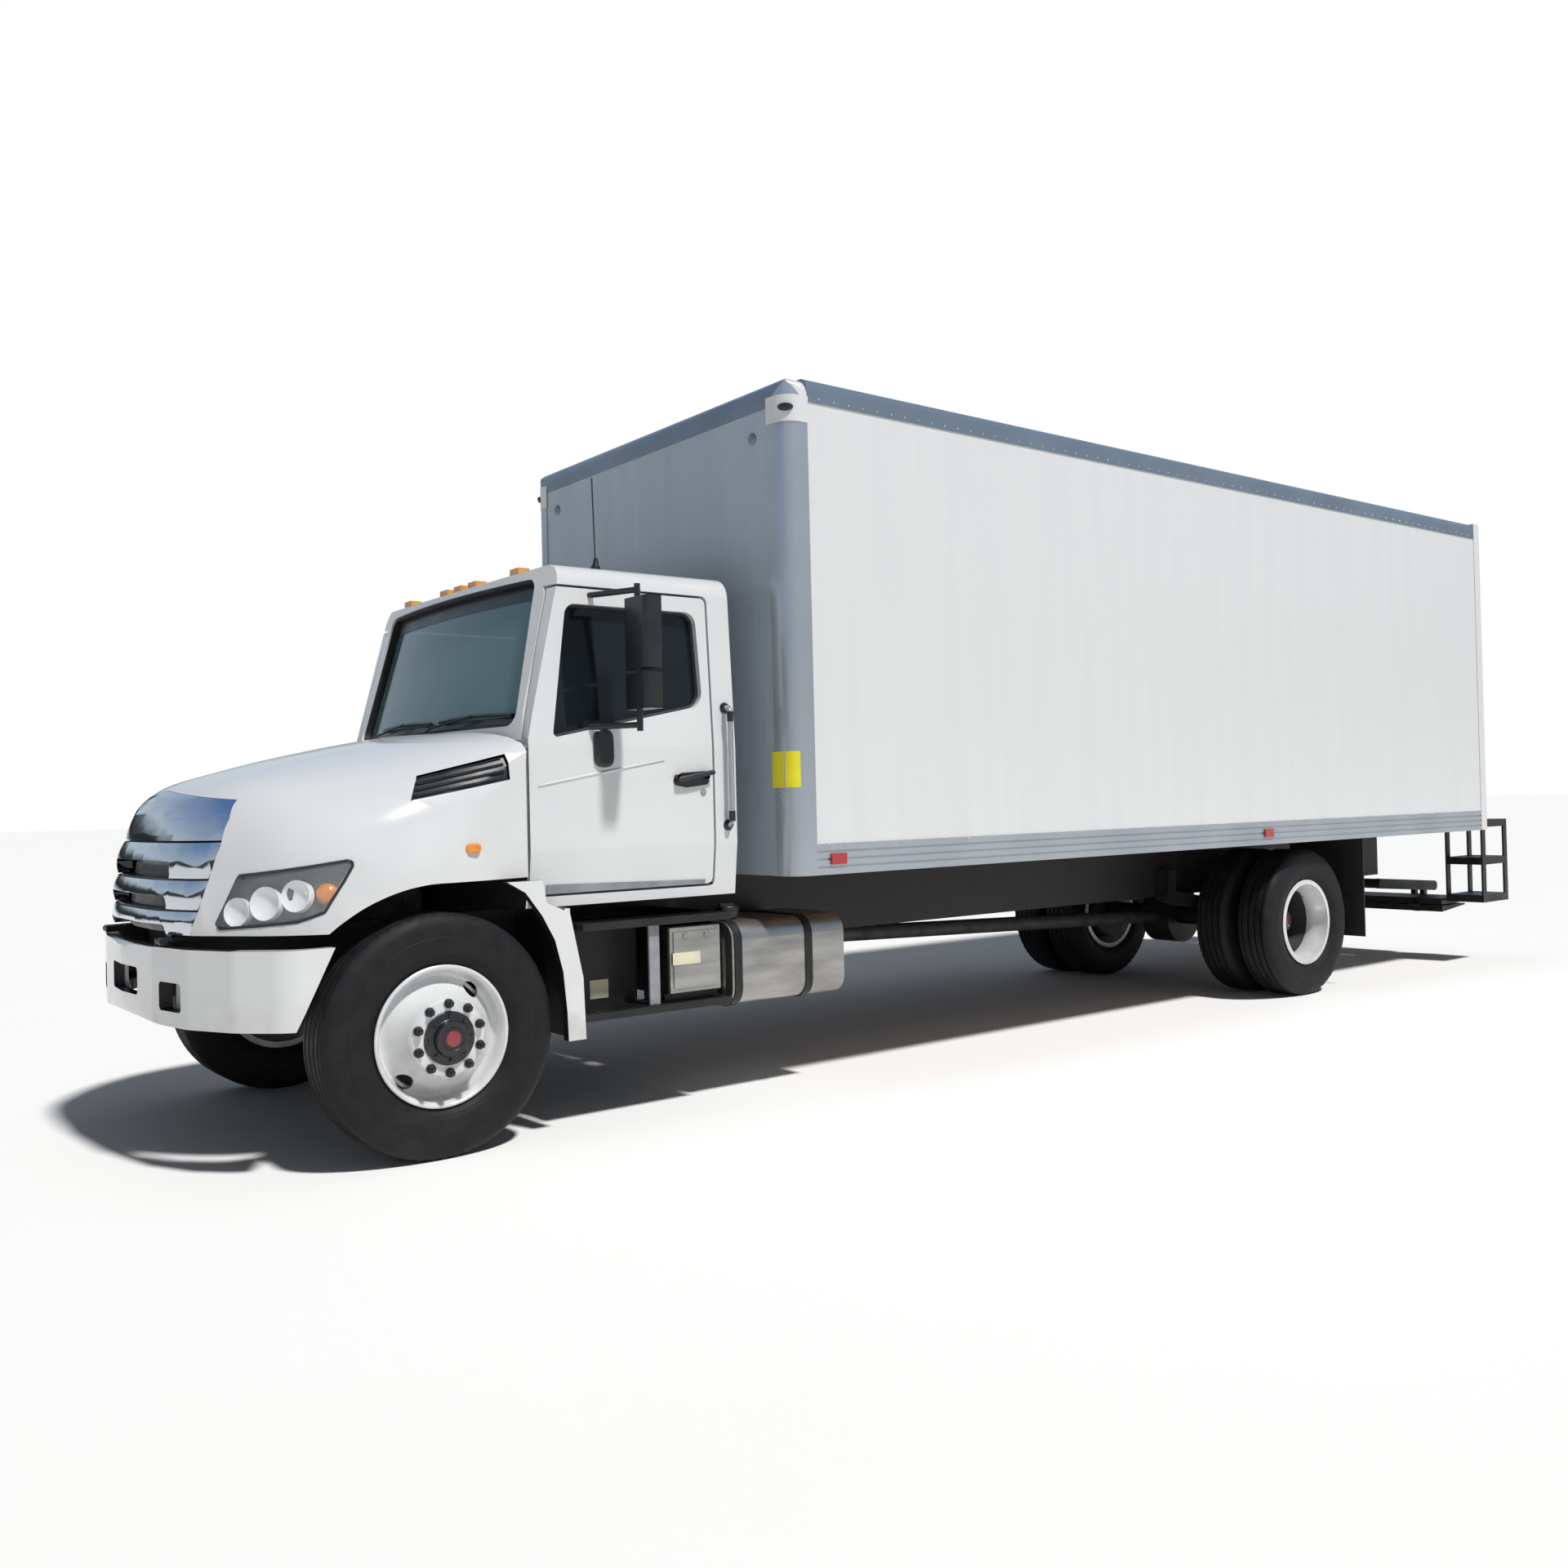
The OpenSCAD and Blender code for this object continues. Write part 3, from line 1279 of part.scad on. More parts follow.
module box_front_frame() {
    header = [[box_x1, box_top - post_w], [box_x1, box_top], [box_x1 - top_leg, box_top],
        [box_x1 - top_leg, box_top - roof_t - rail_groove], [box_x1 - wall_t, box_top - roof_t - rail_groove],
        [box_x1 - wall_t, box_top - post_w]];
    cap = [[box_x1, box_top - post_w], [box_x1, box_top], [box_x1 - post_w, box_top],
        [box_x1 - post_w, box_top - post_w]];
    side_cap = [[box_hw, box_top - post_w], [box_hw, box_top], [box_hw - post_w, box_top],
        [box_hw - post_w, box_top - post_w]];
    color("#b4b9be") truck() {
        both_sides() {
            plan_form(box_bottom, box_top - post_w) post_plan(0);
            difference() {
                intersection() {
                    plan_form(box_top - post_w, box_top) corner_plan();
                    side_form(box_hw - post_w, box_hw) polygon(rounded(cap, [0, corner_r, 0, 0]));
                    section_form(box_x1 - post_w, box_x1) polygon(rounded(side_cap, [0, corner_r, 0, 0]));
                }
                block([box_x0, box_x1 - wall_t], [0, box_hw - wall_t], [0, box_top - roof_t - rail_groove]);
            }
        }
        side_form(post_w - box_hw, box_hw - post_w) polygon(rounded(header, [0, corner_r, 0, 0, 0, 0]));
    }
}

module rear_frame() {
    color("#e9ebec") truck() difference() {
        block([box_x0, box_x0 + rear_post_d], [-box_hw, box_hw], [box_bottom, box_top]);
        block([box_x0 - over, box_x0 + rear_post_d + over], [rear_post_w - box_hw, box_hw - rear_post_w],
            [floor_top, box_top - rear_header_h]);
        for (y = [-plate_pitch[0] / 2, plate_pitch[0] / 2])
            for (z = [-plate_pitch[1] / 2, plate_pitch[1] / 2])
                translate([box_x0 - over, plate_y + y, (box_bottom + floor_top) / 2 + z])
                    rotate([0, 90, 0]) cylinder(d = plate_hole_d, h = rear_post_d + 2 * over);
    }
}

module rollup_door() {
    w = box_hw - rear_post_w;
    pitch = (box_top - rear_header_h - floor_top) / slat_count;
    color("#eceeef") truck() difference() {
        block([box_x0 + door_set, box_x0 + door_set + door_t], [-w, w], [floor_top, box_top - rear_header_h]);
        for (i = [1 : slat_count - 1])
            block([box_x0, box_x0 + door_set + slat_groove], [-w - over, w + over],
                [floor_top + i * pitch - slat_groove / 2, floor_top + i * pitch + slat_groove / 2]);
    }
}

// Lamps: columns are place along, place across and height
roof_lamp_w = 90;
roof_lamp_h = 55;
roof_lamp_x = [640, 700];
roof_lamp_shares = [-0.6, -0.16, 0, 0.16, 0.6];
side_lamp = [100, 12, 55];
side_lamp_shares = [0.012, 0.55];
tail_lamp_d = 105;
tail_lamp_t = 22;
tail_lamp_set = 85.3;
tail_lamp_pitch = 116.55;
tail_lamp_count = 3;

module marker_lamps() {
    roof_z0 = cab_top - roof_slope[2];
    mid_z = box_bottom + bottom_rail_h / 2;
    color("#d07a2a") truck() {
        difference() {
            for (s = roof_lamp_shares)
                block([-roof_lamp_x[1], -roof_lamp_x[0]],
                    [s * cab_hw - roof_lamp_w / 2, s * cab_hw + roof_lamp_w / 2],
                    [roof_z0 - over, roof_z0 + roof_lamp_h]);
            cab_volume(0);
        }
        both_sides() {
            for (s = side_lamp_shares)
                translate([mix(box_x1 - post_w, box_x0, s) - side_lamp[0], box_hw, mid_z - side_lamp[2] / 2])
                    cube(side_lamp);
            for (i = [0 : tail_lamp_count - 1])
                translate([box_x0 - tail_lamp_t, dock_y[0] - tail_lamp_set - i * tail_lamp_pitch, mid_z])
                    rotate([0, 90, 0]) cylinder(d = tail_lamp_d, h = tail_lamp_t);
        }
    }
}

// Liftgate
module liftgate_frame() {
    hang_y = [rail_in, frame_hw];
    dock_z = [dock_low, box_bottom + bottom_rail_h / 2];
    half = (dock_z[1] - dock_low - 3 * dock_bar) / 2;
    color("#151617") truck() {
        translate([lift_pivot_x, 0, lift_pivot_z])
            rod_y(cross_tube_d, -arm_y + lift_arm_w / 2 + fit, arm_y - lift_arm_w / 2 - fit);
        both_sides() {
            translate([lift_pivot_x, 0, lift_pivot_z]) rod_y(lift_pin_d, 0, arm_y + lift_arm_w / 2);
            block([lift_pivot_x - cross_tube_d, lift_pivot_x + cross_tube_d], hang_y,
                [lift_pivot_z, rail_low]);
            difference() {
                block([tail_x, box_x0], dock_y, dock_z);
                block([tail_x + dock_bar, box_x0 - dock_bar], [0, box_w],
                    [dock_low + dock_bar, dock_low + dock_bar + half]);
                block([tail_x + dock_bar, box_x0 - dock_bar], [0, box_w],
                    [dock_low + 2 * dock_bar + half, dock_z[1] - dock_bar]);
                block([tail_x - over, box_x0 + over], [dock_y[0] + dock_plate, dock_y[1] - dock_plate],
                    [dock_low + dock_bar, dock_low + dock_bar + half]);
                block([tail_x - over, box_x0 + over], [dock_y[0] + dock_plate, dock_y[1] - dock_plate],
                    [dock_low + 2 * dock_bar + half, dock_z[1] - dock_bar]);
            }
        }
    }
}

module lift_arms() {
    color("#191a1b") truck() both_sides() translate([lift_pivot_x, 0, lift_pivot_z])
        rotate([0, -stow_angle, 0]) difference() {
            union() {
                block([-arm_len, 0], [arm_y - lift_arm_w / 2, arm_y + lift_arm_w / 2],
                    [-lift_arm_h / 2, lift_arm_h / 2]);
                for (x = [0, -arm_len])
                    translate([x, 0, 0]) rod_y(lift_arm_h, arm_y - lift_arm_w / 2, arm_y + lift_arm_w / 2);
            }
            for (x = [0, -arm_len]) translate([x, 0, 0]) rod_y(lift_pin_d + 2 * fit, 0, 2 * arm_y);
        }
    color("#191a1b") truck() translate([lift_pivot_x, 0, lift_pivot_z]) rotate([0, -stow_angle, 0])
        translate([-arm_len * brace_share, 0, 0]) rod_y(lift_pin_d, -arm_y, arm_y);
}

module lift_carrier() {
    color("#191a1b") truck() translate([lift_end_x, 0, lift_stow_z]) {
        rod_y(carrier_tube_d, -arm_y + lift_arm_w / 2 + fit, arm_y - lift_arm_w / 2 - fit);
        rod_y(lift_pin_d, -arm_y - lift_arm_w / 2, arm_y + lift_arm_w / 2);
        both_sides() {
            for (y = [leaf_lug_y - leaf_lug_w - fit, leaf_lug_y + leaf_lug_w + fit])
                block([-leaf_eye_d / 2, leaf_eye_d / 2], [y - leaf_lug_w / 2, y + leaf_lug_w / 2],
                    [-link_drop, 0]);
            translate([0, 0, -link_drop])
                rod_y(leaf_pin_d, leaf_lug_y - 1.5 * leaf_lug_w, leaf_lug_y + 1.5 * leaf_lug_w);
        }
    }
}

module lift_platform() {
    color("#232425") truck() {
        block([lift_end_x + leaf_gap, lift_end_x + leaf_gap + leaf_len], [-platform_w / 2, platform_w / 2],
            [leaf_z - leaf_t / 2, leaf_z + leaf_t / 2]);
        both_sides() {
            difference() {
                union() {
                    translate([lift_end_x, 0, leaf_z])
                        rod_y(leaf_eye_d, leaf_lug_y - leaf_lug_w / 2, leaf_lug_y + leaf_lug_w / 2);
                    block([lift_end_x, lift_end_x + leaf_gap],
                        [leaf_lug_y - leaf_lug_w / 2, leaf_lug_y + leaf_lug_w / 2],
                        [leaf_z - leaf_eye_d / 2, leaf_z + leaf_eye_d / 2]);
                }
                translate([lift_end_x, 0, leaf_z]) rod_y(leaf_pin_d + 2 * fit, 0, platform_w);
            }
            translate([fold_x, 0, fold_z]) rod_y(leaf_pin_d / 2, fold_lug_y - leaf_lug_w,
                fold_lug_y + leaf_lug_w);
            block([lift_end_x + leaf_gap + leaf_len, fold_x + leaf_pin_d / 2],
                [fold_lug_y - leaf_lug_w, fold_lug_y - leaf_lug_w / 2],
                [fold_z - leaf_pin_d / 4, leaf_z + leaf_t / 2]);
        }
    }
}

module lift_ramp() {
    y = [fold_lug_y - leaf_lug_w / 2 + fit, fold_lug_y + leaf_lug_w];
    low = 2 * fold_z - leaf_z;
    x1 = fold_x - leaf_eye_d / 2;
    profile = [[x1, low - leaf_t / 2], [x1, low + leaf_t / 2], [x1 - leaf_len, low + leaf_t / 2],
        [x1 - leaf_len, low + leaf_t / 2 - ramp_tip]];
    color("#232425") truck() {
        side_form(-platform_w / 2, platform_w / 2) polygon(profile);
        both_sides() difference() {
            union() {
                translate([fold_x, 0, fold_z]) rod_y(leaf_pin_d, y[0], y[1]);
                block([x1 - leaf_t, fold_x], y, [low - leaf_t / 2, fold_z - leaf_pin_d / 3]);
            }
            translate([fold_x, 0, fold_z]) rod_y(leaf_pin_d / 2 + 2 * fit, 0, platform_w);
        }
    }
}

// Drawing
frame_rails();
powertrain();
front_axle();
rear_axle();
fuel_tank();
tank_straps();
side_steps();
front_bumper();
fender_strips();
mudflaps();
cab_floor();
cab_back();
cab_roof();
cab_front();
cab_glass();
dashboard();
seats();
box_floor();
box_side_left();
box_side_right();
box_front_wall();
box_roof();
box_rails();
box_front_frame();
rear_frame();
rollup_door();
liftgate_frame();
marker_lamps();
knuckle_left();
knuckle_right();
tie_rod();
wheel_front_left();
tyre_front_left();
wheel_front_right();
tyre_front_right();
wheel_rear_left();
tyres_rear_left();
wheel_rear_right();
tyres_rear_right();
door_left();
door_right();
door_glass_left();
door_glass_right();
mirror_left();
mirror_right();
hood();
grille();
grille_screen();
headlamps();
hood_hinge();
lift_arms();
lift_carrier();
lift_platform();
lift_ramp();
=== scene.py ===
"""Looks of the box truck: finishes, fittings, tyres, lamps, seats, studio and camera.

Metres, in the CAD frame: +X forward, +Y to the driver's side, +Z up, the ground at z = 0. Tables
in mm() are in millimetres.
Places along the truck are given ahead of the front axle and go through at().
"""
from math import copysign, cos, pi, radians, sin, sqrt, tan

import bmesh
import bpy
from mathutils import Matrix, Vector
from mathutils.bvhtree import BVHTree


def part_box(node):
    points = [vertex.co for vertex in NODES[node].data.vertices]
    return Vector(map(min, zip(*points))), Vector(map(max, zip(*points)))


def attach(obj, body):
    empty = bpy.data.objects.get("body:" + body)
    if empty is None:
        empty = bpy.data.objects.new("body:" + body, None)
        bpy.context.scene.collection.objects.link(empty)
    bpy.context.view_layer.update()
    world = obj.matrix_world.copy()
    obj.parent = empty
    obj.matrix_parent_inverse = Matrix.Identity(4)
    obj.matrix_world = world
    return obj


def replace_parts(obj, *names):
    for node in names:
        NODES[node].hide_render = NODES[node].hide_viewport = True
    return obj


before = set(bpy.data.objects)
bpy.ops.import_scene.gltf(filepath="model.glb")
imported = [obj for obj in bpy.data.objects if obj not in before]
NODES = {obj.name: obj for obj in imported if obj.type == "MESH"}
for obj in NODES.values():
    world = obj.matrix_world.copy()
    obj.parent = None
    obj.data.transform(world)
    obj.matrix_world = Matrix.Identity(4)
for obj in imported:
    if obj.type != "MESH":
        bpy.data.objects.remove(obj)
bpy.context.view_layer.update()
SIDES = (("left", 1), ("right", -1))


def mm(*points):
    """Points given in millimetres."""
    return [tuple(size / 1000 for size in point) for point in points]


def middle(node):
    """Middle of a CAD node's box."""
    low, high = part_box(node)
    return (low + high) / 2


AXLE = middle("tyre_front_left")


def at(x, y, z):
    """Place x metres ahead of the front axle, y across and z up."""
    return Vector((AXLE.x + x, y, z))


def mirrored(spot, side):
    """A place or direction on the left side, turned over where side is -1."""
    x, y, z = spot
    return x, side * y, z


# Studio and camera

CAMERA_PLACE = (2.485, 6.644, 1.493)
CAMERA_YAW = radians(51.673)
CAMERA_PITCH = radians(0.622)
CAMERA_ROLL = radians(-1.355)
FOCAL_PIXELS = 1692.0
FRAME_PIXELS = 1920
SENSOR_MM = 36.0
CLIP_END = 300
SUN_FROM = (-0.1, 0.52, 0.85)
SUN_POWER = 3.35
SUN_ANGLE = radians(5)
SUN_COLOR = (1.0, 0.985, 0.96)
ROOM_COLOR, ROOM_LIGHT = (0.86, 0.93, 1.0, 1), 0.13
SKY_LOW, SKY_TOP, SKY_TOP_AT, SKY_LIGHT = (0.62, 0.7, 0.76, 1), (0.13, 0.27, 0.55, 1), 0.75, 0.9
SKYLINE = ((0.04, (0.02, 0.025, 0.03, 1)), (0.1, (0.06, 0.07, 0.07, 1)), (0.16, (0.6, 0.7, 0.8, 1)))
WHITE = (1, 1, 1, 1)
FLOOR_HALF = 150


def link(obj):
    """Puts an object in the scene."""
    bpy.context.scene.collection.objects.link(obj)
    return obj


def add_camera():
    """Camera at the place solved from the photograph."""
    forward = Vector((-cos(CAMERA_YAW) * cos(CAMERA_PITCH),
                      -sin(CAMERA_YAW) * cos(CAMERA_PITCH), sin(CAMERA_PITCH)))
    right = forward.cross(Vector((0, 0, 1))).normalized()
    up = right.cross(forward)
    c, s = cos(CAMERA_ROLL), sin(CAMERA_ROLL)
    right, up = c * right + s * up, c * up - s * right
    data = bpy.data.cameras.new("camera")
    data.sensor_width = SENSOR_MM
    data.lens = FOCAL_PIXELS / FRAME_PIXELS * SENSOR_MM
    data.clip_end = CLIP_END
    camera = link(bpy.data.objects.new("camera", data))
    turn = Matrix((right, up, -forward)).transposed().to_4x4()
    camera.matrix_world = Matrix.Translation(at(*CAMERA_PLACE)) @ turn
    bpy.context.scene.camera = camera


def shader_node(tree, kind, **inputs):
    """A new node; an input that is given a socket is linked to it, any other is set."""
    node = tree.nodes.new("ShaderNode" + kind)
    for name, value in inputs.items():
        socket = node.inputs[name.replace("_", " ")]
        if isinstance(value, bpy.types.NodeSocket):
            tree.links.new(value, socket)
        else:
            socket.default_value = value
    return node


def axis(tree, coords, name):
    """One axis of a coordinate socket."""
    return shader_node(tree, "SeparateXYZ", Vector=coords).outputs[name]


def add_world():
    """White to the camera, a blue sky to mirrors, soft cool light for the rest."""
    world = bpy.data.worlds.new("studio")
    bpy.context.scene.world = world
    world.use_nodes = True
    tree = world.node_tree
    tree.nodes.clear()
    up = axis(tree, shader_node(tree, "TexCoord").outputs["Generated"], "Z")
    sky = shader_node(tree, "ValToRGB", Fac=up)
    stops = sky.color_ramp.elements
    stops[0].color = SKY_LOW
    stops[1].color = SKY_TOP
    stops[1].position = SKY_TOP_AT
    for place, color in SKYLINE:
        stops.new(place).color = color
    rays = shader_node(tree, "LightPath").outputs
    light = shader_node(tree, "Background", Color=ROOM_COLOR, Strength=ROOM_LIGHT)
    for ray, color, strength in (("Is Glossy Ray", sky.outputs["Color"], SKY_LIGHT), ("Is Camera Ray", WHITE, 1.0)):
        shade = shader_node(tree, "Background", Color=color, Strength=strength)
        mix = shader_node(tree, "MixShader", Fac=rays[ray])
        tree.links.new(light.outputs[0], mix.inputs[1])
        tree.links.new(shade.outputs[0], mix.inputs[2])
        light = mix
    shader_node(tree, "OutputWorld", Surface=light.outputs[0])


def add_floor():
    """Plain pale floor."""
    half = FLOOR_HALF
    mesh = bpy.data.meshes.new("floor")
    mesh.from_pydata([(-half, -half, 0), (half, -half, 0), (half, half, 0), (-half, half, 0)], [], [(0, 1, 2, 3)])
    mesh.materials.append(finish("floor_pale", (0.97, 0.97, 0.97), (0.95, 0.95, 0.95), (0.85, 0.95), scale=0.4))
    link(bpy.data.objects.new("floor", mesh))


def add_studio():
    """High sun on the driver's side, so the ends of the truck are in cool shade."""
    add_world()
    add_floor()
    data = bpy.data.lights.new("sun", "SUN")
    data.energy = SUN_POWER
    data.angle = SUN_ANGLE
    data.color = SUN_COLOR
    sun = link(bpy.data.objects.new("sun", data))
    sun.rotation_euler = Vector(SUN_FROM).to_track_quat("Z", "Y").to_euler()
    bpy.context.scene.view_settings.view_transform = "Standard"
    bpy.context.scene.view_settings.look = "None"


# Finishes

COAT_ROUGH = 0.03
BUMP_DEEP = 0.002


def color_mix(tree, factor, a, b):
    """Mix of two colours; each may be a colour or a socket."""
    node = tree.nodes.new("ShaderNodeMix")
    node.data_type = "RGBA"
    tree.links.new(factor, node.inputs["Factor"])
    for index, value in ((6, a), (7, b)):
        if isinstance(value, tuple):
            node.inputs[index].default_value = (*value, 1.0)
        else:
            tree.links.new(value, node.inputs[index])
    return node.outputs[2]


def spread(tree, value, low, high, to_low=0.0, to_high=1.0):
    """A socket remapped from low..high to to_low..to_high, clamped."""
    return shader_node(tree, "MapRange", Value=value, From_Min=low, From_Max=high, To_Min=to_low,
                       To_Max=to_high).outputs["Result"]


def noise(tree, coords, scale, stretch=(1, 1, 1)):
    """Noise over the object's own coordinates."""
    spot = shader_node(tree, "Mapping", Vector=coords, Scale=stretch).outputs["Vector"]
    return shader_node(tree, "TexNoise", Vector=spot, Scale=scale, Detail=4.0).outputs["Fac"]


def finish(name, color, shade, rough, metal=0.0, coat=0.0, scale=5.0, stretch=(1, 1, 1), bump=None, soil=None,
           paint=None, alpha=1.0, sheen=0.5):
    """A procedural finish: colour drifts to shade, roughness drifts, fine bump, soil near the ground.

    bump is (strength, scale) or (strength, scale, stretch). soil is (height where it is full, height
    where it ends, colour). paint(tree, coords, tint) may return another colour socket. alpha below 1
    lets light through, for lenses and glass. sheen is the strength of the mirror-like part.
    """
    material = bpy.data.materials.new(name)
    material.use_nodes = True
    tree = material.node_tree
    shader = tree.nodes["Principled BSDF"]
    for socket, value in (("Metallic", metal), ("Coat Weight", coat), ("Coat Roughness", COAT_ROUGH),
                          ("Alpha", alpha), ("Specular IOR Level", sheen)):
        shader.inputs[socket].default_value = value
    coords = tree.nodes.new("ShaderNodeTexCoord").outputs["Object"]
    drift = noise(tree, coords, scale, stretch)
    tint = color_mix(tree, spread(tree, drift, 0.35, 0.7), tuple(color), tuple(shade))
    if paint:
        tint = paint(tree, coords, tint)
    if soil:
        low, high, dust = soil
        most = spread(tree, axis(tree, coords, "Z"), low, high, 0.75, 0.0)
        amount = spread(tree, noise(tree, coords, 9.0), 0.3, 0.75, 0.0, most)
        tint = color_mix(tree, amount, tint, tuple(dust))
    tree.links.new(tint, shader.inputs["Base Color"])
    tree.links.new(spread(tree, drift, 0.3, 0.7, *rough), shader.inputs["Roughness"])
    if bump:
        strength, *grain = bump
        ripple = shader_node(tree, "Bump", Strength=strength, Distance=BUMP_DEEP, Height=noise(tree, coords, *grain))
        tree.links.new(ripple.outputs["Normal"], shader.inputs["Normal"])
    return material


ROAD_DUST = (0.34, 0.31, 0.27)
BODY_FRONT_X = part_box("box_front_frame")[1].x


def amber_or_red(tree, coords, tint):
    """Amber ahead of the van body, red on it."""
    return color_mix(tree, spread(tree, axis(tree, coords, "X"), BODY_FRONT_X, BODY_FRONT_X + 0.05),
                     (0.4, 0.02, 0.015), tint)


def plank_lines(tree, coords, tint):
    """Dark joints between floor planks."""
    wave = shader_node(tree, "TexWave", Vector=coords, Scale=1.6)
    wave.bands_direction = "Y"
    return color_mix(tree, spread(tree, wave.outputs["Fac"], 0.02, 0.06), (0.1, 0.07, 0.04), tint)


FINISHES = {
    "white": finish("white_paint", (0.7, 0.71, 0.72), (0.67, 0.68, 0.695), (0.16, 0.24), coat=0.5, scale=2.2,
        bump=(0.03, 160), soil=(0.3, 0.8, ROAD_DUST)),
    "panel": finish("panel_white", (0.7, 0.71, 0.72), (0.675, 0.685, 0.698), (0.3, 0.42), coat=0.15, scale=1.6,
        stretch=(5, 5, 0.35), bump=(0.12, 70)),
    "rail": finish("aluminium_rail", (0.45, 0.48, 0.52), (0.4, 0.43, 0.47), (0.26, 0.34), metal=0.6, scale=2.5,
        bump=(0.05, 60)),
    "top_rail": finish("top_rail_grey", (0.2, 0.25, 0.31), (0.17, 0.215, 0.27), (0.28, 0.38), metal=0.4,
        scale=2.5, bump=(0.05, 60)),
    # The van body's front wall is the same white panel as its sides; its darker blue-grey here is painted shade, for
    # a wall turned away from the sun.
    "front_panel_painted_shade": finish("front_panel_painted_shade", (0.4, 0.46, 0.53), (0.36, 0.415, 0.48), (0.24, 0.32), coat=0.2,
        scale=1.4, stretch=(4, 4, 0.3), bump=(0.05, 50)),
    "black": finish("frame_black", (0.01, 0.0105, 0.011), (0.017, 0.0165, 0.016), (0.34, 0.5), scale=7,
        bump=(0.2, 120), soil=(0.1, 0.7, (0.03, 0.028, 0.026)), sheen=0.35),
    "cast": finish("cast_grey", (0.07, 0.07, 0.072), (0.04, 0.04, 0.04), (0.55, 0.75), metal=0.3, scale=10,
        bump=(0.5, 90)),
    "tank": finish("tank_metal", (0.42, 0.41, 0.39), (0.28, 0.27, 0.255), (0.26, 0.4), metal=0.85, scale=5,
        stretch=(0.6, 3, 3), bump=(0.15, 50, (0.1, 8, 8))),
    "tyre": finish("tyre_rubber", (0.01, 0.01, 0.011), (0.017, 0.017, 0.017), (0.5, 0.68), scale=12,
        bump=(0.3, 260), soil=(0.0, 0.25, (0.035, 0.033, 0.03)), sheen=0.2),
    "wheel": finish("wheel_white", (0.74, 0.75, 0.76), (0.66, 0.67, 0.68), (0.22, 0.34), metal=0.1, coat=0.3,
        scale=6, bump=(0.06, 120), soil=(0.2, 0.7, (0.42, 0.39, 0.36))),
    "interior": finish("interior_plastic", (0.045, 0.048, 0.052), (0.065, 0.068, 0.07), (0.6, 0.75), scale=9,
        bump=(0.4, 420)),
    "cloth": finish("seat_cloth", (0.08, 0.085, 0.095), (0.13, 0.135, 0.14), (0.8, 0.95), scale=35,
        bump=(0.6, 700)),
    "chrome": finish("chrome_trim", (0.62, 0.64, 0.67), (0.55, 0.58, 0.62), (0.05, 0.11), metal=1.0, scale=4,
        bump=(0.02, 90)),
    "lamp": finish("lamp_lens", (0.8, 0.36, 0.06), (0.7, 0.28, 0.04), (0.1, 0.18), coat=0.6, scale=40,
        bump=(0.4, 380), paint=amber_or_red),
    "amber": finish("amber_lens", (0.85, 0.3, 0.03), (0.72, 0.22, 0.02), (0.1, 0.16), coat=0.6, scale=50,
        bump=(0.4, 420)),
    "plastic": finish("black_plastic", (0.009, 0.01, 0.011), (0.015, 0.016, 0.017), (0.3, 0.44), coat=0.15,
        scale=8, bump=(0.15, 480)),
    "rubber": finish("black_rubber", (0.01, 0.01, 0.011), (0.02, 0.019, 0.018), (0.55, 0.75), scale=14,
        bump=(0.3, 300)),
    "wood": finish("plank_wood", (0.32, 0.2, 0.11), (0.22, 0.13, 0.07), (0.5, 0.7), scale=6, stretch=(0.4, 8, 4),
        bump=(0.3, 60, (0.2, 6, 6)), paint=plank_lines),
    "yellow": finish("yellow_film", (0.86, 0.78, 0.02), (0.78, 0.7, 0.02), (0.35, 0.5), scale=12),
    "cream": finish("cream_film", (0.7, 0.68, 0.5), (0.62, 0.6, 0.44), (0.4, 0.55), scale=15),
    "grey": finish("grey_trim", (0.3, 0.31, 0.33), (0.22, 0.23, 0.25), (0.4, 0.55), scale=12, bump=(0.2, 300)),
    "red_cap": finish("red_cap", (0.3, 0.03, 0.035), (0.2, 0.025, 0.03), (0.25, 0.35), coat=0.4, scale=30),
    "mirror": finish("mirror_glass", (0.7, 0.73, 0.75), (0.66, 0.69, 0.72), (0.02, 0.04), metal=1.0, scale=3),
    "glass": finish("tinted_glass", (0.095, 0.2, 0.215), (0.085, 0.185, 0.2), (0.02, 0.05), coat=0.4, scale=2,
        alpha=0.8),
    "dark_glass": finish("door_glass", (0.01, 0.014, 0.018), (0.008, 0.011, 0.014), (0.02, 0.05), scale=2,
        alpha=0.96, sheen=0.25),
    "lens": finish("lamp_clear", (0.75, 0.8, 0.82), (0.68, 0.74, 0.77), (0.02, 0.05), coat=0.9, scale=6,
        alpha=0.16),
    # The headlamp's reflector bowls are painted near white, not chrome: a painted reflection.
    "bowl_painted_reflection": finish("lamp_bowl_painted_reflection", (0.94, 0.95, 0.96), (0.86, 0.87, 0.88), (0.1, 0.16), coat=0.6, scale=9),
    "housing": finish("lamp_housing", (0.17, 0.18, 0.19), (0.1, 0.105, 0.11), (0.18, 0.3), metal=0.4, scale=7),
}

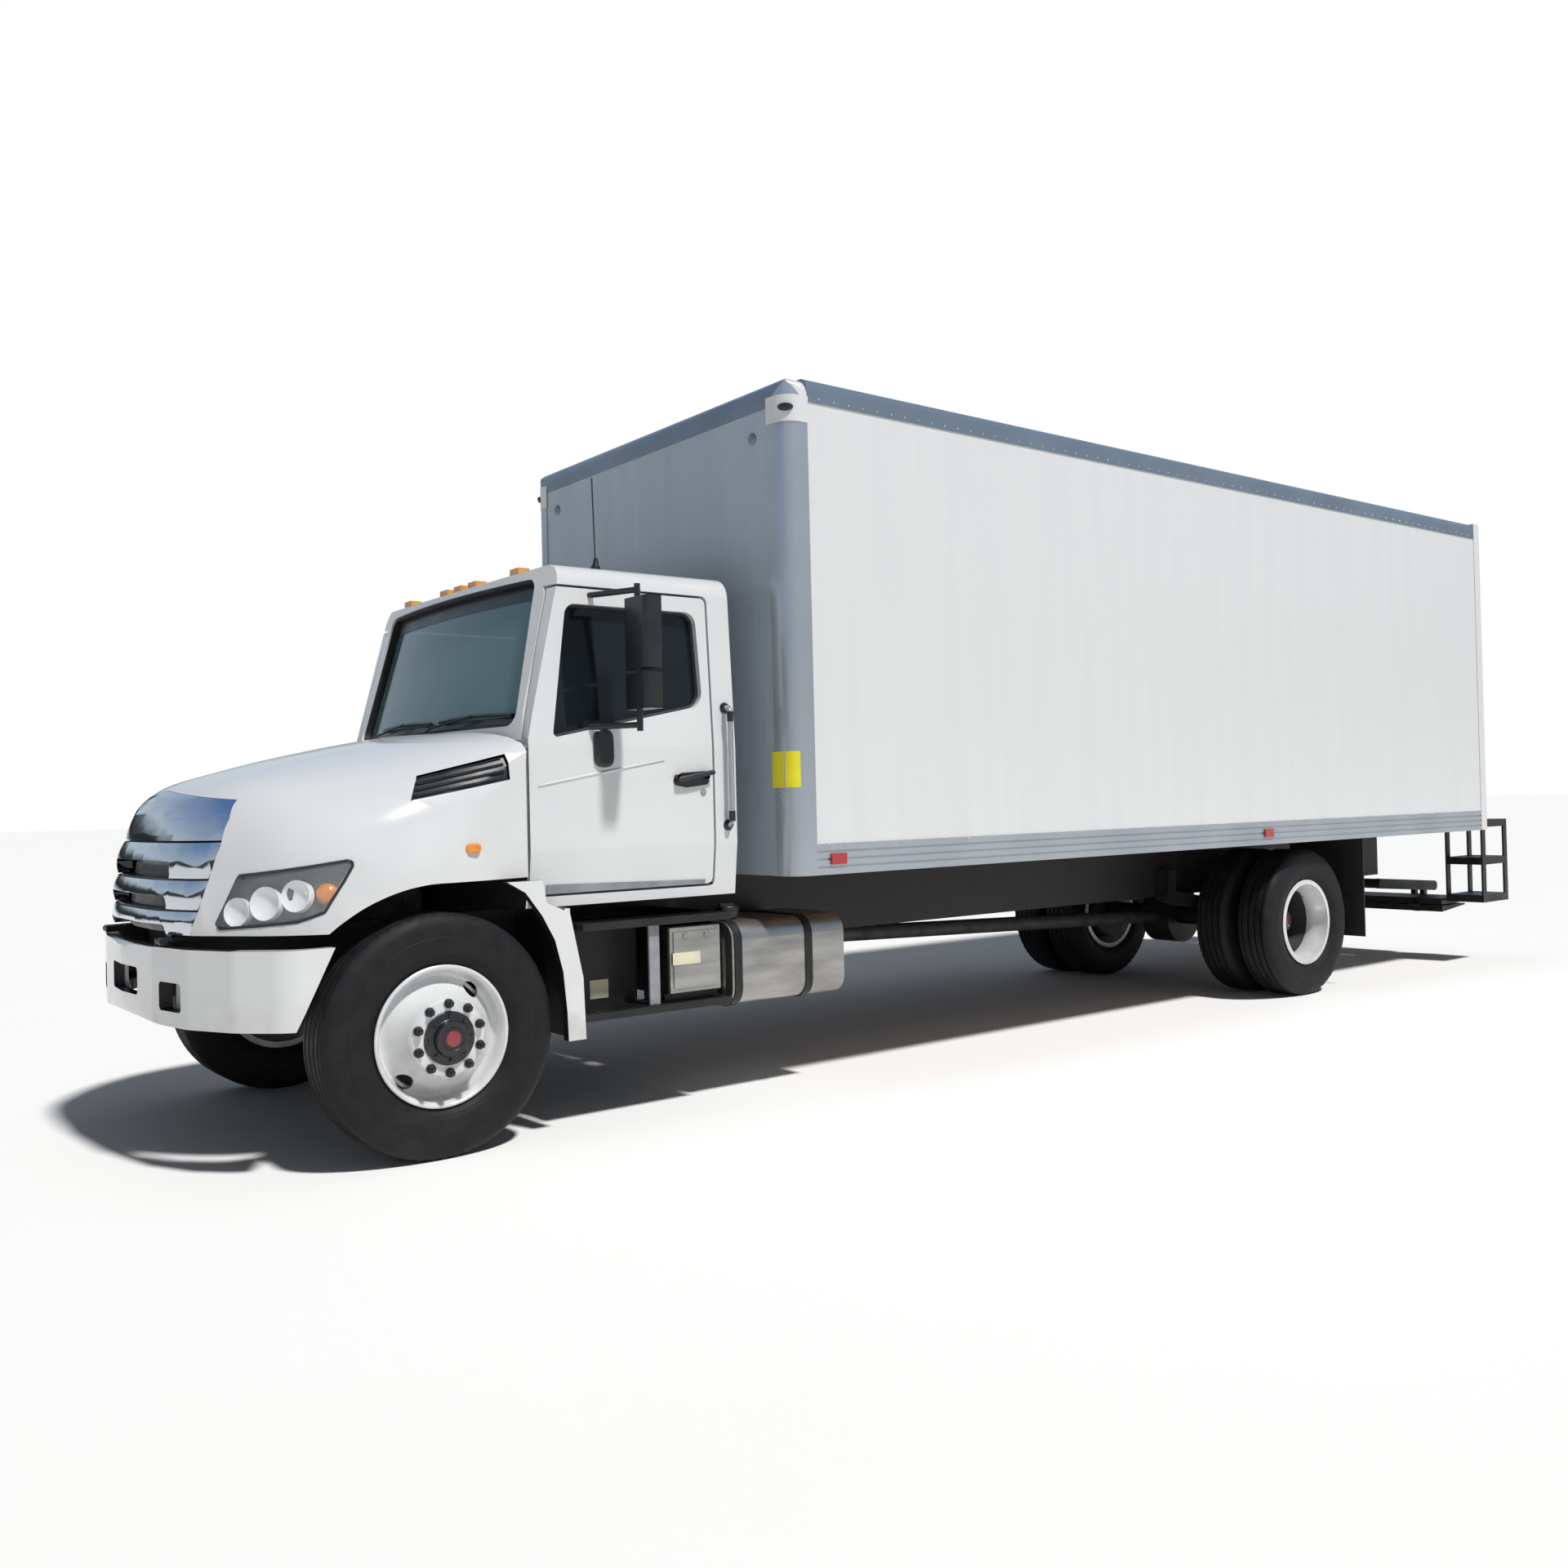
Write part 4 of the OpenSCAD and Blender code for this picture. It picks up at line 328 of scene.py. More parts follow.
NODE_FINISH = {
    "black": "frame_rails front_axle rear_axle side_steps liftgate_frame knuckle_left knuckle_right tie_rod "
             "hood_hinge lift_arms lift_carrier lift_platform lift_ramp tank_straps",
    "cast": "powertrain",
    "tank": "fuel_tank",
    "white": "front_bumper fender_strips cab_floor cab_back cab_roof cab_front door_left door_right hood",
    "rubber": "mudflaps",
    "glass": "cab_glass",
    "dark_glass": "door_glass_left door_glass_right",
    "interior": "dashboard",
    "cloth": "seats",
    "wood": "box_floor",
    "panel": "box_side_left box_side_right box_roof rear_frame rollup_door",
    # box_front_wall takes the darker blue-grey of painted shade.
    "front_panel_painted_shade": "box_front_wall",
    "rail": "box_rails box_front_frame",
    "lamp": "marker_lamps",
    "wheel": "wheel_front_left wheel_front_right wheel_rear_left wheel_rear_right",
    "tyre": "tyre_front_left tyre_front_right tyres_rear_left tyres_rear_right",
    # grille_screen is a black sheet behind the grille's bars: painted shade of the engine bay seen between them.
    "plastic": "mirror_left mirror_right grille_screen",
    "chrome": "grille",
    "lens": "headlamps",
}

EDGE_ANGLE = 38
WELD_GAP = 0.00002
ROUNDED = {"mirror_left": 0.014, "mirror_right": 0.014, "dashboard": 0.02}
VENT = mm((100, 1523), (35, 1631), (-355, 1724), (-364, 1609))
VENT_Y = 0.4
VENT_SLACK = 0.0002


def soften(obj, angle=EDGE_ANGLE):
    """Smooth shading that keeps true edges, without touching the mesh's vertices."""
    obj.data.polygons.foreach_set("use_smooth", [True] * len(obj.data.polygons))
    weld = obj.modifiers.new("weld", "WELD")
    weld.merge_threshold = WELD_GAP
    split = obj.modifiers.new("edges", "EDGE_SPLIT")
    split.split_angle = radians(angle)
    obj.modifiers.new("normals", "WEIGHTED_NORMAL").keep_sharp = True


def finish_nodes():
    """Gives every CAD node its finish."""
    for name, nodes in NODE_FINISH.items():
        for node in nodes.split():
            slots = NODES[node].data.materials
            slots.clear()
            slots.append(FINISHES[name])
            if node in ROUNDED:
                bevel = NODES[node].modifiers.new("round", "BEVEL")
                bevel.width, bevel.segments = ROUNDED[node], 3
            soften(NODES[node])


def paint_faces(node, name, rule):
    """Repaints the faces of a CAD node whose middle and normal fit a rule."""
    mesh = NODES[node].data
    mesh.materials.append(FINISHES[name])
    index = len(mesh.materials) - 1
    for face in mesh.polygons:
        if rule(face.center, face.normal):
            face.material_index = index


ARCH_TOP = 1.3
HOOD_MIDDLE_Z = 1.1
# Half-width within which the bumper's top, back and pockets are painted black as painted shade
BUMPER_SHADE_Y = 0.9
BULKHEAD_TOP, COWL_TOP, COWL_REAR = 1.7, 1.86, -0.42
# Shares of a normal along a direction, from which a face counts as looking that way
FACING, TOWARD, SIDELONG, INWARD = 0.5, 0.35, 0.3, 0.02
TOP_RAIL_Z, FRONT_RAIL_Z, CORNER_Z, CORNER_Y = 2.5, 3.4, 3.474, 1.14


def repaint_nodes():
    """Second finishes on parts of CAD nodes: linings, vents, corner caps, rails and the cowl, and black as painted
    shade inside the hood and in the bumper's gap and pockets.
    """
    # Black on the hood: the vent and the wheel arch's lining are black parts; the faces inside the hood are painted
    # black as painted shade of the engine bay behind the grille.
    def lining_and_shade(spot, normal):
        inside = normal.y * spot.y + normal.z * (spot.z - HOOD_MIDDLE_Z) < -INWARD
        to_axle = Vector((AXLE.x - spot.x, 0, AXLE.z - spot.z)).normalized()
        return inside or (spot.z < ARCH_TOP and normal.dot(to_axle) > TOWARD) or in_vent(spot)

    paint_faces("hood", "plastic", lining_and_shade)
    paint_faces("fender_strips", "plastic", lambda spot, n: n.y * spot.y < SIDELONG and n.x > -FACING)
    # The bumper's top, back and the insides of its openings near the middle are painted black: painted shade in the
    # gap under the grille and in the pockets.
    paint_faces("front_bumper", "plastic", lambda spot, n: n.x < SIDELONG and abs(spot.y) < BUMPER_SHADE_Y)
    paint_faces("cab_floor", "plastic", lambda spot, n: n.x > FACING or n.z < -FACING)
    paint_faces("cab_front", "plastic", lambda spot, n: n.x > FACING and spot.z < BULKHEAD_TOP)
    paint_faces("box_rails", "top_rail", lambda spot, n: spot.z > TOP_RAIL_Z)
    paint_faces("box_front_frame", "top_rail", lambda spot, n: spot.z > FRONT_RAIL_Z and abs(spot.y) < CORNER_Y)
    paint_faces("box_front_frame", "panel", lambda spot, n: spot.z > CORNER_Z and abs(spot.y) > CORNER_Y)
    paint_faces("cab_front", "plastic",
                lambda spot, n: n.z > FACING and spot.z < COWL_TOP and spot.x > AXLE.x + COWL_REAR)


def in_vent(spot):
    """Whether a place on the hood is within the vent's outline."""
    x, z = spot.x - AXLE.x, spot.z
    turns = []
    for (x0, z0), (x1, z1) in zip(VENT, VENT[1:] + VENT[:1]):
        turns.append((x1 - x0) * (z - z0) - (z1 - z0) * (x - x0))
    return abs(spot.y) > VENT_Y and (min(turns) > -VENT_SLACK or max(turns) < VENT_SLACK)


# Shapes

UP = (0, 0, 1)
OFF_AXIS = Vector((0.11, 0.23, 0.97))
DOUBLES = 0.00005
RAY_FROM = 2.0
SUNK, BASE_SUNK = 0.002, 0.004


def circle(steps, start=0.0):
    """Cosines and sines of even steps round a circle."""
    angles = [2 * pi * (k + start) / steps for k in range(steps)]
    return [(cos(angle), sin(angle)) for angle in angles]


def skin(bm, rings, around=True, wrap=False):
    """Faces between rings of points; wrap joins the last ring to the first."""
    rows = [[bm.verts.new(point) for point in ring] for ring in rings]
    count = len(rows[0])
    pairs = list(zip(rows, rows[1:])) + ([(rows[-1], rows[0])] if wrap else [])
    for a, b in pairs:
        for i in range(count if around else count - 1):
            j = (i + 1) % count
            bm.faces.new((a[i], a[j], b[j], b[i]))
    if around and not wrap:
        bm.faces.new(rows[0][::-1])
        bm.faces.new(rows[-1])


def tube(bm, path, radius, sides=10, flat=1.0):
    """Bar along a path of points, round or flattened."""
    path = [Vector(point) for point in path]
    rings = []
    for before, point, after in zip(path[:1] + path, path, path[1:] + path[-1:]):
        along = (after - before).normalized()
        u = along.cross(OFF_AXIS).normalized()
        v = along.cross(u)
        rings.append([point + radius * (c * u + flat * s * v) for c, s in circle(sides)])
    skin(bm, rings)


def lathe(bm, profile, place, out, steps, close=False):
    """A profile of (radius, distance out) turned about an axis through place."""
    out = Vector(out).normalized()
    u = out.orthogonal().normalized()
    v = out.cross(u)
    rings = [[Vector(place) + r * (c * u + s * v) + d * out for r, d in profile] for c, s in circle(steps)]
    skin(bm, rings, around=close, wrap=True)


def plate(bm, outline, depth):
    """Slab between a closed outline and the same outline moved by depth."""
    near = [Vector(point) for point in outline]
    skin(bm, [near, [point + Vector(depth) for point in near]])


def block(bm, low, high, edge):
    """Box with rounded edges between two corners for at()."""
    low, high = at(*low), at(*high)
    made = bmesh.ops.create_cube(bm, size=1.0)["verts"]
    for vert in made:
        vert.co = Vector([(a + b) / 2 + c * abs(b - a) for a, b, c in zip(low, high, vert.co)])
    edges = {e for vert in made for e in vert.link_edges}
    bmesh.ops.bevel(bm, geom=list(edges), offset=edge, segments=2, affect="EDGES", profile=0.5)


def turns(corners):
    """Each 2D corner with the unit ways to it from the one before and on to the next."""
    corners = [Vector(corner) for corner in corners]
    for before, here, after in zip(corners[-1:] + corners, corners, corners[1:] + corners[:1]):
        yield here, (here - before).normalized(), (after - here).normalized()


def rounded(corners, radius, steps=6):
    """Outline of 2D corners with rounded turns."""
    points = []
    for here, way_in, way_out in turns(corners):
        reach = radius / tan((-way_in).angle(way_out) / 2)
        a, b = here - way_in * reach, here + way_out * reach
        for k in range(steps + 1):
            t = k / steps
            points.append((1 - t) ** 2 * a + 2 * t * (1 - t) * here + t * t * b)
    return points


def inset(corners, step):
    """Corners of a convex outline moved in by step."""
    moved = []
    for here, way_in, way_out in turns(corners):
        turn = 1 if way_in.cross(way_out) > 0 else -1
        n1 = Vector((-way_in.y, way_in.x)) * turn
        n2 = Vector((-way_out.y, way_out.x)) * turn
        moved.append(here + (n1 + n2) * (step / (1 + n1.dot(n2))))
    return moved


def mesh_of(name, build):
    """A mesh made by build(bm), its faces turned outward."""
    bm = bmesh.new()
    build(bm)
    bmesh.ops.recalc_face_normals(bm, faces=bm.faces)
    mesh = bpy.data.meshes.new(name)
    bm.to_mesh(mesh)
    bm.free()
    return mesh


def piece(name, finish_name, build, body="chassis", angle=EDGE_ANGLE):
    """A piece made by build(bm), in its finish, riding a body; without an angle all of it is smooth."""
    mesh = mesh_of(name, build)
    obj = link(bpy.data.objects.new(name, mesh))
    mesh.materials.append(FINISHES[finish_name])
    if angle:
        soften(obj, angle)
    else:
        mesh.polygons.foreach_set("use_smooth", [True] * len(mesh.polygons))
    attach(obj, body)
    return obj


def surface(node):
    """Caster of rays at a CAD node: surface(node)(from, direction) gives the place met, or None."""
    mesh = NODES[node].data
    tree = BVHTree.FromPolygons([v.co for v in mesh.vertices], [p.vertices for p in mesh.polygons])
    return lambda start, way: tree.ray_cast(Vector(start), Vector(way).normalized())[0]


def side_finder(node, side, spare=None):
    """Finder of places on a node's outer side.

    It takes spots as (metres ahead, height) and how far out of the surface the places are. A spot
    off the node is left out, or put at spare metres from the middle plane.
    """
    hit = surface(node)
    out = Vector((0, side, 0))

    def places(spots, rise=0.0):
        found = []
        for x, z in spots:
            met = hit(at(x, side * RAY_FROM, z), -out)
            if met is None and spare:
                met = at(x, side * spare, z)
            if met is not None:
                found.append(met + rise * out)
        return found
    return places


# Wheels and tyres

TREAD_STEPS = 120
GROOVES = (0.073, 0.025, -0.025, -0.073)
GROOVE_HALF, GROOVE_FLOOR, GROOVE_DEEP = 0.006, 0.0036, 0.014
GROOVE = ((0, GROOVE_HALF), (GROOVE_DEEP, GROOVE_FLOOR), (GROOVE_DEEP, -GROOVE_FLOOR), (0, -GROOVE_HALF))
SHOULDER_R, SHOULDER_Y, NOTCH = 0.505, 0.1, 0.006
TYRE_EDGE = 0.1376
TYRE_SIDE = mm((286.8, 103), (309, 103), (318, 112), (335, 123.5), (339, 123.5), (341, 126.5), (352, 131),
               (372, 136.5), (397, 139.2), (420, 139), (424, 136.2), (428, 138.2), (445, 136.2), (470, 132.2),
               (486, 128.2), (500, 119.5), (512, 112), (520, 103), (522, 95))
TREAD_R = TYRE_SIDE[-1][0]
TREAD = [(TREAD_R - deep, place + y) for place in GROOVES for deep, y in GROOVE]
TYRE = TYRE_SIDE + TREAD + [(r, -y) for r, y in reversed(TYRE_SIDE)]

TYRE_NODES = {"front": "tyre_front_", "rear": "tyres_rear_"}
TWIN = 0.343
DISC_T = 0.013
RIM_OUTER = mm((298.5, 104.5), (302.5, 109), (302.5, 115), (298, 118), (291, 117.5), (284, 112), (277, 98),
               (273.5, 70), (270, 58), (262, 50), (252, 47))
DISC = mm((240, 52), (226, 66), (208, 90), (190, 118), (176, 144), (168, 160), (158, 169.5), (148, 171.5),
          (112, 171.5))
FACE = DISC[-1][1]
DISC_BACK = [(r - 0.002, d - DISC_T) for r, d in reversed(DISC)]
BARREL = mm((240, 34), (240, -20), (262, -60), (272, -117.5), (291, -117.5), (302.5, -115), (302.5, -109),
            (286.5, -104), (286.5, -70), (255, -30), (255, 30), (286.5, 70), (286.5, 104))
# Black rings just behind each disc: painted shade seen through the hand holes
SHADE_RING = [(r - 0.004, d - DISC_T - 0.006) for r, d in DISC[:6]]
SHADE_RING_BACK = [(r - 0.002, d - 0.004) for r, d in reversed(SHADE_RING)]
RIM_ANGLE = 30
HAND_HOLES = (Vector((-0.155, 0, 0.178)), Vector((0.155, 0, -0.178)))
HOLE_LONG, HOLE_WIDE = 0.042, 0.029
BOLT_R, NUTS = 0.145, 10
NUT_FLANGE = mm((0, -4), (20.5, -4), (20.5, 6), (16.5, 8))
NUT = mm((16.5, 6), (16.5, 25), (13.5, 29), (8.5, 29), (8.5, 36), (0, 38))
HUB_BOLT_R, HUB_BOLTS = 0.094, 8
HUB_BOLT = mm((8.5, 8), (8.5, 21), (0, 23))
HUB_FOOT = mm((113, -30), (113, 8), (107, 12), (84, 14), (79, 18))
HUB_END = mm((76, -6), (71, -1), (50, 0), (46, -4), (0, -4))
CAP = mm((34, -8), (34, -1), (31, 2), (12, 3), (0, 3))
FRONT_HUB, REAR_HUB = 0.046, 0.108
DRUM = mm((100, 20), (195, 20), (205, 10), (205, -85), (198, -90), (90, -90))
FRONT_DRUM, REAR_DRUM = 0.002, -0.045


def turn_tyre(bm, place):
    """Tyre with notched shoulders about a place on its axle."""
    rings = []
    for k, (c, s) in enumerate(circle(TREAD_STEPS)):
        ring = []
        for r, y in TYRE:
            if k % 2 and r > SHOULDER_R and abs(y) > SHOULDER_Y:
                r -= NOTCH
            ring.append(place + Vector((r * c, y, r * s)))
        rings.append(ring)
    skin(bm, rings, wrap=True)


def cut(obj, build):
    """Takes the solid made by build(bm) out of an object's mesh."""
    mesh = mesh_of("cutter", build)
    tool = link(bpy.data.objects.new("cutter", mesh))
    taken = obj.modifiers.new("cut", "BOOLEAN")
    taken.operation = "DIFFERENCE"
    taken.object = tool
    whole = bpy.data.meshes.new_from_object(obj.evaluated_get(bpy.context.evaluated_depsgraph_get()))
    obj.modifiers.remove(taken)
    obj.data = whole
    bpy.data.objects.remove(tool)
    bpy.data.meshes.remove(mesh)


def add_rims(key, discs):
    """White disc wheels with two hand holes each."""
    def rims(bm):
        for place, out in discs:
            lathe(bm, RIM_OUTER + DISC + DISC_BACK + BARREL, place, out, 96, True)

    def holes(bm):
        for place, out in discs:
            for spot in HAND_HOLES:
                way = spot.normalized()
                across = Vector((way.z, 0, -way.x))
                near = place + spot + 0.02 * out
                plate(bm, [near + HOLE_LONG * c * across + HOLE_WIDE * s * way for c, s in circle(24)], 0.2 * out)
    obj = piece("rims_" + key, "wheel", rims, "wheel_" + key, None)
    cut(obj, holes)
    soften(obj, RIM_ANGLE)
    return obj


def add_hub(key, place, out, length):
    """Ten flanged nuts with stud ends on a wheel disc, and a black hub with bolts and a red cap."""
    def bolts(bm, profile, radius, count, start, sides):
        for c, s in circle(count, start):
            lathe(bm, profile, place + radius * Vector((c, 0, s)), out, sides)

    def nuts(bm):
        bolts(bm, NUT_FLANGE, BOLT_R, NUTS, 0.5, 20)
        bolts(bm, NUT, BOLT_R, NUTS, 0.5, 6)

    def hub(bm):
        lathe(bm, HUB_FOOT + [(r, length + d) for r, d in HUB_END], place, out, 56)
        bolts(bm, HUB_BOLT, HUB_BOLT_R, HUB_BOLTS, 0.0, 6)
    body = "wheel_" + key
    piece("nuts_" + key, "plastic", nuts, body, 25)
    piece("hub_" + key, "plastic", hub, body)
    piece("hub_cap_" + key, "red_cap", lambda bm: lathe(bm, [(r, length + d) for r, d in CAP], place, out, 40), body)


def add_wheel(row, name, side):
    """A wheel or rear twin in place of the CAD one: tyres, discs, nuts, hub, black rings behind the discs as painted
    shade in the hand holes, and brake drum.
    """
    rear = row == "rear"
    key = row[0] + name[0]
    body = "wheel_" + key
    tyre_node = TYRE_NODES[row] + name
    out = Vector((0, side, 0))
    outer = middle(tyre_node)
    outer.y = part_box(tyre_node)[1 if side > 0 else 0].y - side * TYRE_EDGE
    inner = outer - TWIN * out
    discs = [(outer, -out), (inner, out)] if rear else [(outer, out)]

    def tyres(bm):
        for place, _ in discs:
            turn_tyre(bm, place)

    def shade_rings(bm):
        for place, way in discs:
            lathe(bm, SHADE_RING + SHADE_RING_BACK, place, way, 56, True)
    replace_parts(piece("tyre_" + key, "tyre", tyres, body, 50), tyre_node)
    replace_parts(add_rims(key, discs), f"wheel_{row}_{name}")
    if rear:
        add_hub(key, outer - (FACE - DISC_T) * out, out, REAR_HUB)
    else:
        add_hub(key, outer + FACE * out, out, FRONT_HUB)
    drum_place = inner + REAR_DRUM * out if rear else outer + FRONT_DRUM * out
    # Black rings behind the discs, painted shade in the hand holes
    piece("wheel_shade_rings_" + key, "tyre", shade_rings, body)
    piece("drum_" + key, "cast", lambda bm: lathe(bm, DRUM, drum_place, out, 56), body)


# Cab

RAKE = radians(15)
SCREEN_X, SCREEN_Z = -0.39, 1.845
SCREEN_R = 6.0
SCREEN_CORNERS = mm((930, 1857), (840, 2560), (-840, 2560), (-930, 1857))
SCREEN_CLEAR = mm((868, 1905), (795, 2462), (-795, 2462), (-868, 1905))
WIPERS = ((0.1, 0.86, 0.2), (-0.62, 0.1, -0.56))
WIPER_FOOT_Z, WIPER_Z = 1.84, 1.912
WIPER_PIVOT = mm((0, 22), (16, 20), (20, 6), (20, -40))


def on_screen(y, z, depth):
    """Place on the windshield's curve, depth metres inside the cab's skin."""
    d = sqrt((SCREEN_R - depth) ** 2 - y * y) - SCREEN_R
    s = (z - SCREEN_Z - sin(RAKE) * d) / cos(RAKE)
    return at(SCREEN_X + cos(RAKE) * d - sin(RAKE) * s, y, z)


def dense(outline, cuts=24):
    """An outline with its long runs cut into short ones."""
    points = []
    for a, b in zip(outline, outline[1:] + outline[:1]):
        runs = cuts if (b - a).length > 0.25 else 1
        points += [a.lerp(b, k / runs) for k in range(runs)]
    return points


def screen_band(bm, outer, inner, front, back):
    """Closed band on the windshield between two outlines and two depths."""
    loops = [(outer, front), (inner, front), (inner, back), (outer, back)]
    skin(bm, [[on_screen(y, z, depth) for y, z in outline] for outline, depth in loops], wrap=True)


def add_windshield():
    """Black edge of the glass, rubber round it and wipers."""
    edge = dense(rounded(SCREEN_CORNERS, 0.06, 8))
    inner = dense(rounded(SCREEN_CLEAR, 0.06, 8))
    lip = dense(rounded(inset(SCREEN_CORNERS, 0.016), 0.058, 8))
    piece("windshield_border", "plastic", lambda bm: screen_band(bm, edge, inner, 0.0425, 0.0448))
    piece("windshield_rubber", "rubber", lambda bm: screen_band(bm, edge, lip, 0.012, 0.046))

    def wipers(bm):
        for foot, start, end in WIPERS:
            rail = []
            for k in range(11):
                t = k / 10
                z = WIPER_Z + 0.012 * sin(pi * t)
                rail.append(on_screen(start + (end - start) * t, z, 0.022))
            tube(bm, rail, 0.008, 8)
            tube(bm, [point + Vector((-0.012, 0, 0)) for point in rail], 0.0045, 6)
            root = on_screen(foot, WIPER_FOOT_Z, -0.03)
            tube(bm, [root, on_screen(foot + 0.1, WIPER_FOOT_Z + 0.045, -0.012),
                      on_screen((start + end) / 2, WIPER_Z + 0.012, 0.008)], 0.008, 8, 0.6)
            lathe(bm, WIPER_PIVOT, root, (0.3, 0, 1), 16)
    piece("wipers", "plastic", wipers)


DOOR_Y = 1.03
HANDLE_BOWL = mm((-1462, 1575), (-1462, 1642), (-1300, 1632), (-1246, 1604), (-1262, 1572), (-1330, 1560))
LOCK = mm((0, 6), (6, 6), (8, 5), (15, 5), (17, 3), (17, -4))
LOCK_SPOT = (-1.429, 1.536)
BOWL_TURN, BOWL_T = 0.024, 0.008
HANDLE_FEET = mm((-1440, 1612), (-1270, 1612))
HANDLE_FOOT = mm((12, -10), (12, 30))
HANDLE_X, HANDLE_Z, HANDLE_STEP, HANDLE_FALL = -1.474, 1.634, 0.026, 0.0042
HANDLE_RISE, HANDLE_CROWN, HANDLE_R = 0.03, 0.006, 0.0125
CREASE_RISE = 0.007
SILL_RUNS, SILL_X, SILL_PITCH, SILL_T = 12, -0.56, 0.08, 0.009
SILL_LOW, SILL_TOP, SILL_TAPER = 1.088, 1.128, 0.002
RUBBER_PROUD, RUBBER_R = 0.004, 0.013
CREASE = mm((-520, 1578, 2), (-558, 1585, 9), (-690, 1608, 12), (-825, 1632, 11), (-1000, 1662, 8),
            (-1204, 1696, 2))
BAR_X, BAR_Y, BAR_LOW, BAR_RUN = -1.575, 1.088, 1.39, 0.545
BAR_ENDS = [(1.045, 1.37), (BAR_Y - 0.01, 1.372), (BAR_Y, BAR_LOW)], [(BAR_Y - 0.012, 1.953), (1.03, 1.955)]
BAR_FEET = ((1.05, 1.37), (1.04, 1.955))
BAR_SLEEVES = ((BAR_LOW, 1.44), (1.885, 1.935))
BAR_R, BAR_SLEEVE_R = 0.014, 0.0165
BAR_FOOT = mm((0, 16), (20, 14), (28, 4), (28, -22))


def add_door(name, side):
    """Handle, lock, crease and sill strip of a door, and the grab bar behind it."""
    body = "door_" + name
    on_door = side_finder(body, side, DOOR_Y)
    out = Vector((0, side, 0))

    def handle(bm):
        plate(bm, on_door(rounded(HANDLE_BOWL, BOWL_TURN), -BASE_SUNK), BOWL_T * out)
        for spot in on_door(HANDLE_FEET):
            lathe(bm, HANDLE_FOOT, spot, out, 16)
        line = on_door([(HANDLE_X + HANDLE_STEP * k, HANDLE_Z - HANDLE_FALL * k) for k in range(9)], HANDLE_RISE)
        tube(bm, [spot + HANDLE_CROWN * sin(pi * k / 8) * out for k, spot in enumerate(line)], HANDLE_R, 14)

    def crease(bm):
        upper = on_door([(x, z + wide) for x, z, wide in CREASE], -SUNK)
        ridge = on_door([(x, z) for x, z, _ in CREASE], CREASE_RISE)
        lower = on_door([(x, z - wide) for x, z, wide in CREASE], -SUNK)
        skin(bm, list(zip(upper, ridge, lower)))

    def strip(bm):
        rings = []
        for k in range(SILL_RUNS):
            x = SILL_X - SILL_PITCH * k
            a, b = on_door([(x, SILL_LOW), (x, SILL_TOP - SILL_TAPER * k)], -SUNK)
            rings.append([a, b, b + SILL_T * out, a + SILL_T * out])
        skin(bm, rings)

    def bar(bm):
        run = [(BAR_Y, BAR_LOW + BAR_RUN * k / 8) for k in range(1, 9)]
        tube(bm, [at(BAR_X, side * y, z) for y, z in BAR_ENDS[0] + run + BAR_ENDS[1]], BAR_R, 14)

    def feet(bm):
        for y, z in BAR_FEET:
            lathe(bm, BAR_FOOT, at(BAR_X, side * y, z), out, 24)
        for ends in BAR_SLEEVES:
            tube(bm, [at(BAR_X, side * BAR_Y, z) for z in ends], BAR_SLEEVE_R, 14)

    piece("handle_" + name, "plastic", handle, body)
    piece("lock_" + name, "grey", lambda bm: lathe(bm, LOCK, on_door([LOCK_SPOT])[0], out, 24), body)
    piece("door_crease_" + name, "white", crease, body, 60)
    piece("sill_strip_" + name, "grey", strip, body)
    piece("grab_bar_" + name, "rail", bar, angle=60)
    piece("grab_bar_feet_" + name, "plastic", feet)


def edge_loops(mesh, rule):
    """Long chains of points along the edge of the faces whose middle and normal fit a rule."""
    bm = bmesh.new()
    bm.from_mesh(mesh)
    bmesh.ops.remove_doubles(bm, verts=bm.verts, dist=DOUBLES)
    inside = {f for f in bm.faces if rule(f.calc_center_median(), f.normal)}
    edges = [e for e in bm.edges if len([f for f in e.link_faces if f in inside]) == 1]
    links = {}
    for e in edges:
        for v in e.verts:
            links.setdefault(v, []).append(e)
    loops, used = [], set()
    for e in edges:
        if e in used:
            continue
        used.add(e)
        chain = list(e.verts)
        while chain[-1] != chain[0]:
            step = [f for f in links[chain[-1]] if f not in used]
            if not step:
                break
            used.add(step[0])
            chain.append(step[0].other_vert(chain[-1]))
        if len(chain) > 8:
            loops.append([v.co.copy() for v in chain])
    bm.free()
    return loops


def add_window_rubber(name, side):
    """Rubber round a door's glass."""
    def rubber(bm):
        for loop in edge_loops(NODES["door_glass_" + name].data, lambda spot, n: n.y * side > FACING):
            tube(bm, [point + Vector((0, side * RUBBER_PROUD, 0)) for point in loop], RUBBER_R, 8)
    piece("window_rubber_" + name, "rubber", rubber, "door_" + name, 60)


# Nose

GRILLE_LOW, GRILLE_H, GRILLE_HALF = 0.985, 0.56, 0.63
GROOVE_SHARES = (0.18, 0.41, 0.69)
# Half-height of the black band of painted shade in each groove of the grille
GROOVE_SHADE_REACH = 0.009
BULGES = (0.014, 0.018, 0.02, 0.006)
BULGE_FADE = 0.06
GRILLE_BARS = list(zip((0.0, *GROOVE_SHARES), (*GROOVE_SHARES, 1.115), BULGES))
GRILLE_EDGE = ((0, 0.976), (0.21, 1.027), (0.47, 1.065), (0.66, 1.09), (0.855, 1.071), (1, 1.02))


def grille_share(z):
    """Height z as a share of the grille's height."""
    return (z - GRILLE_LOW) / GRILLE_H


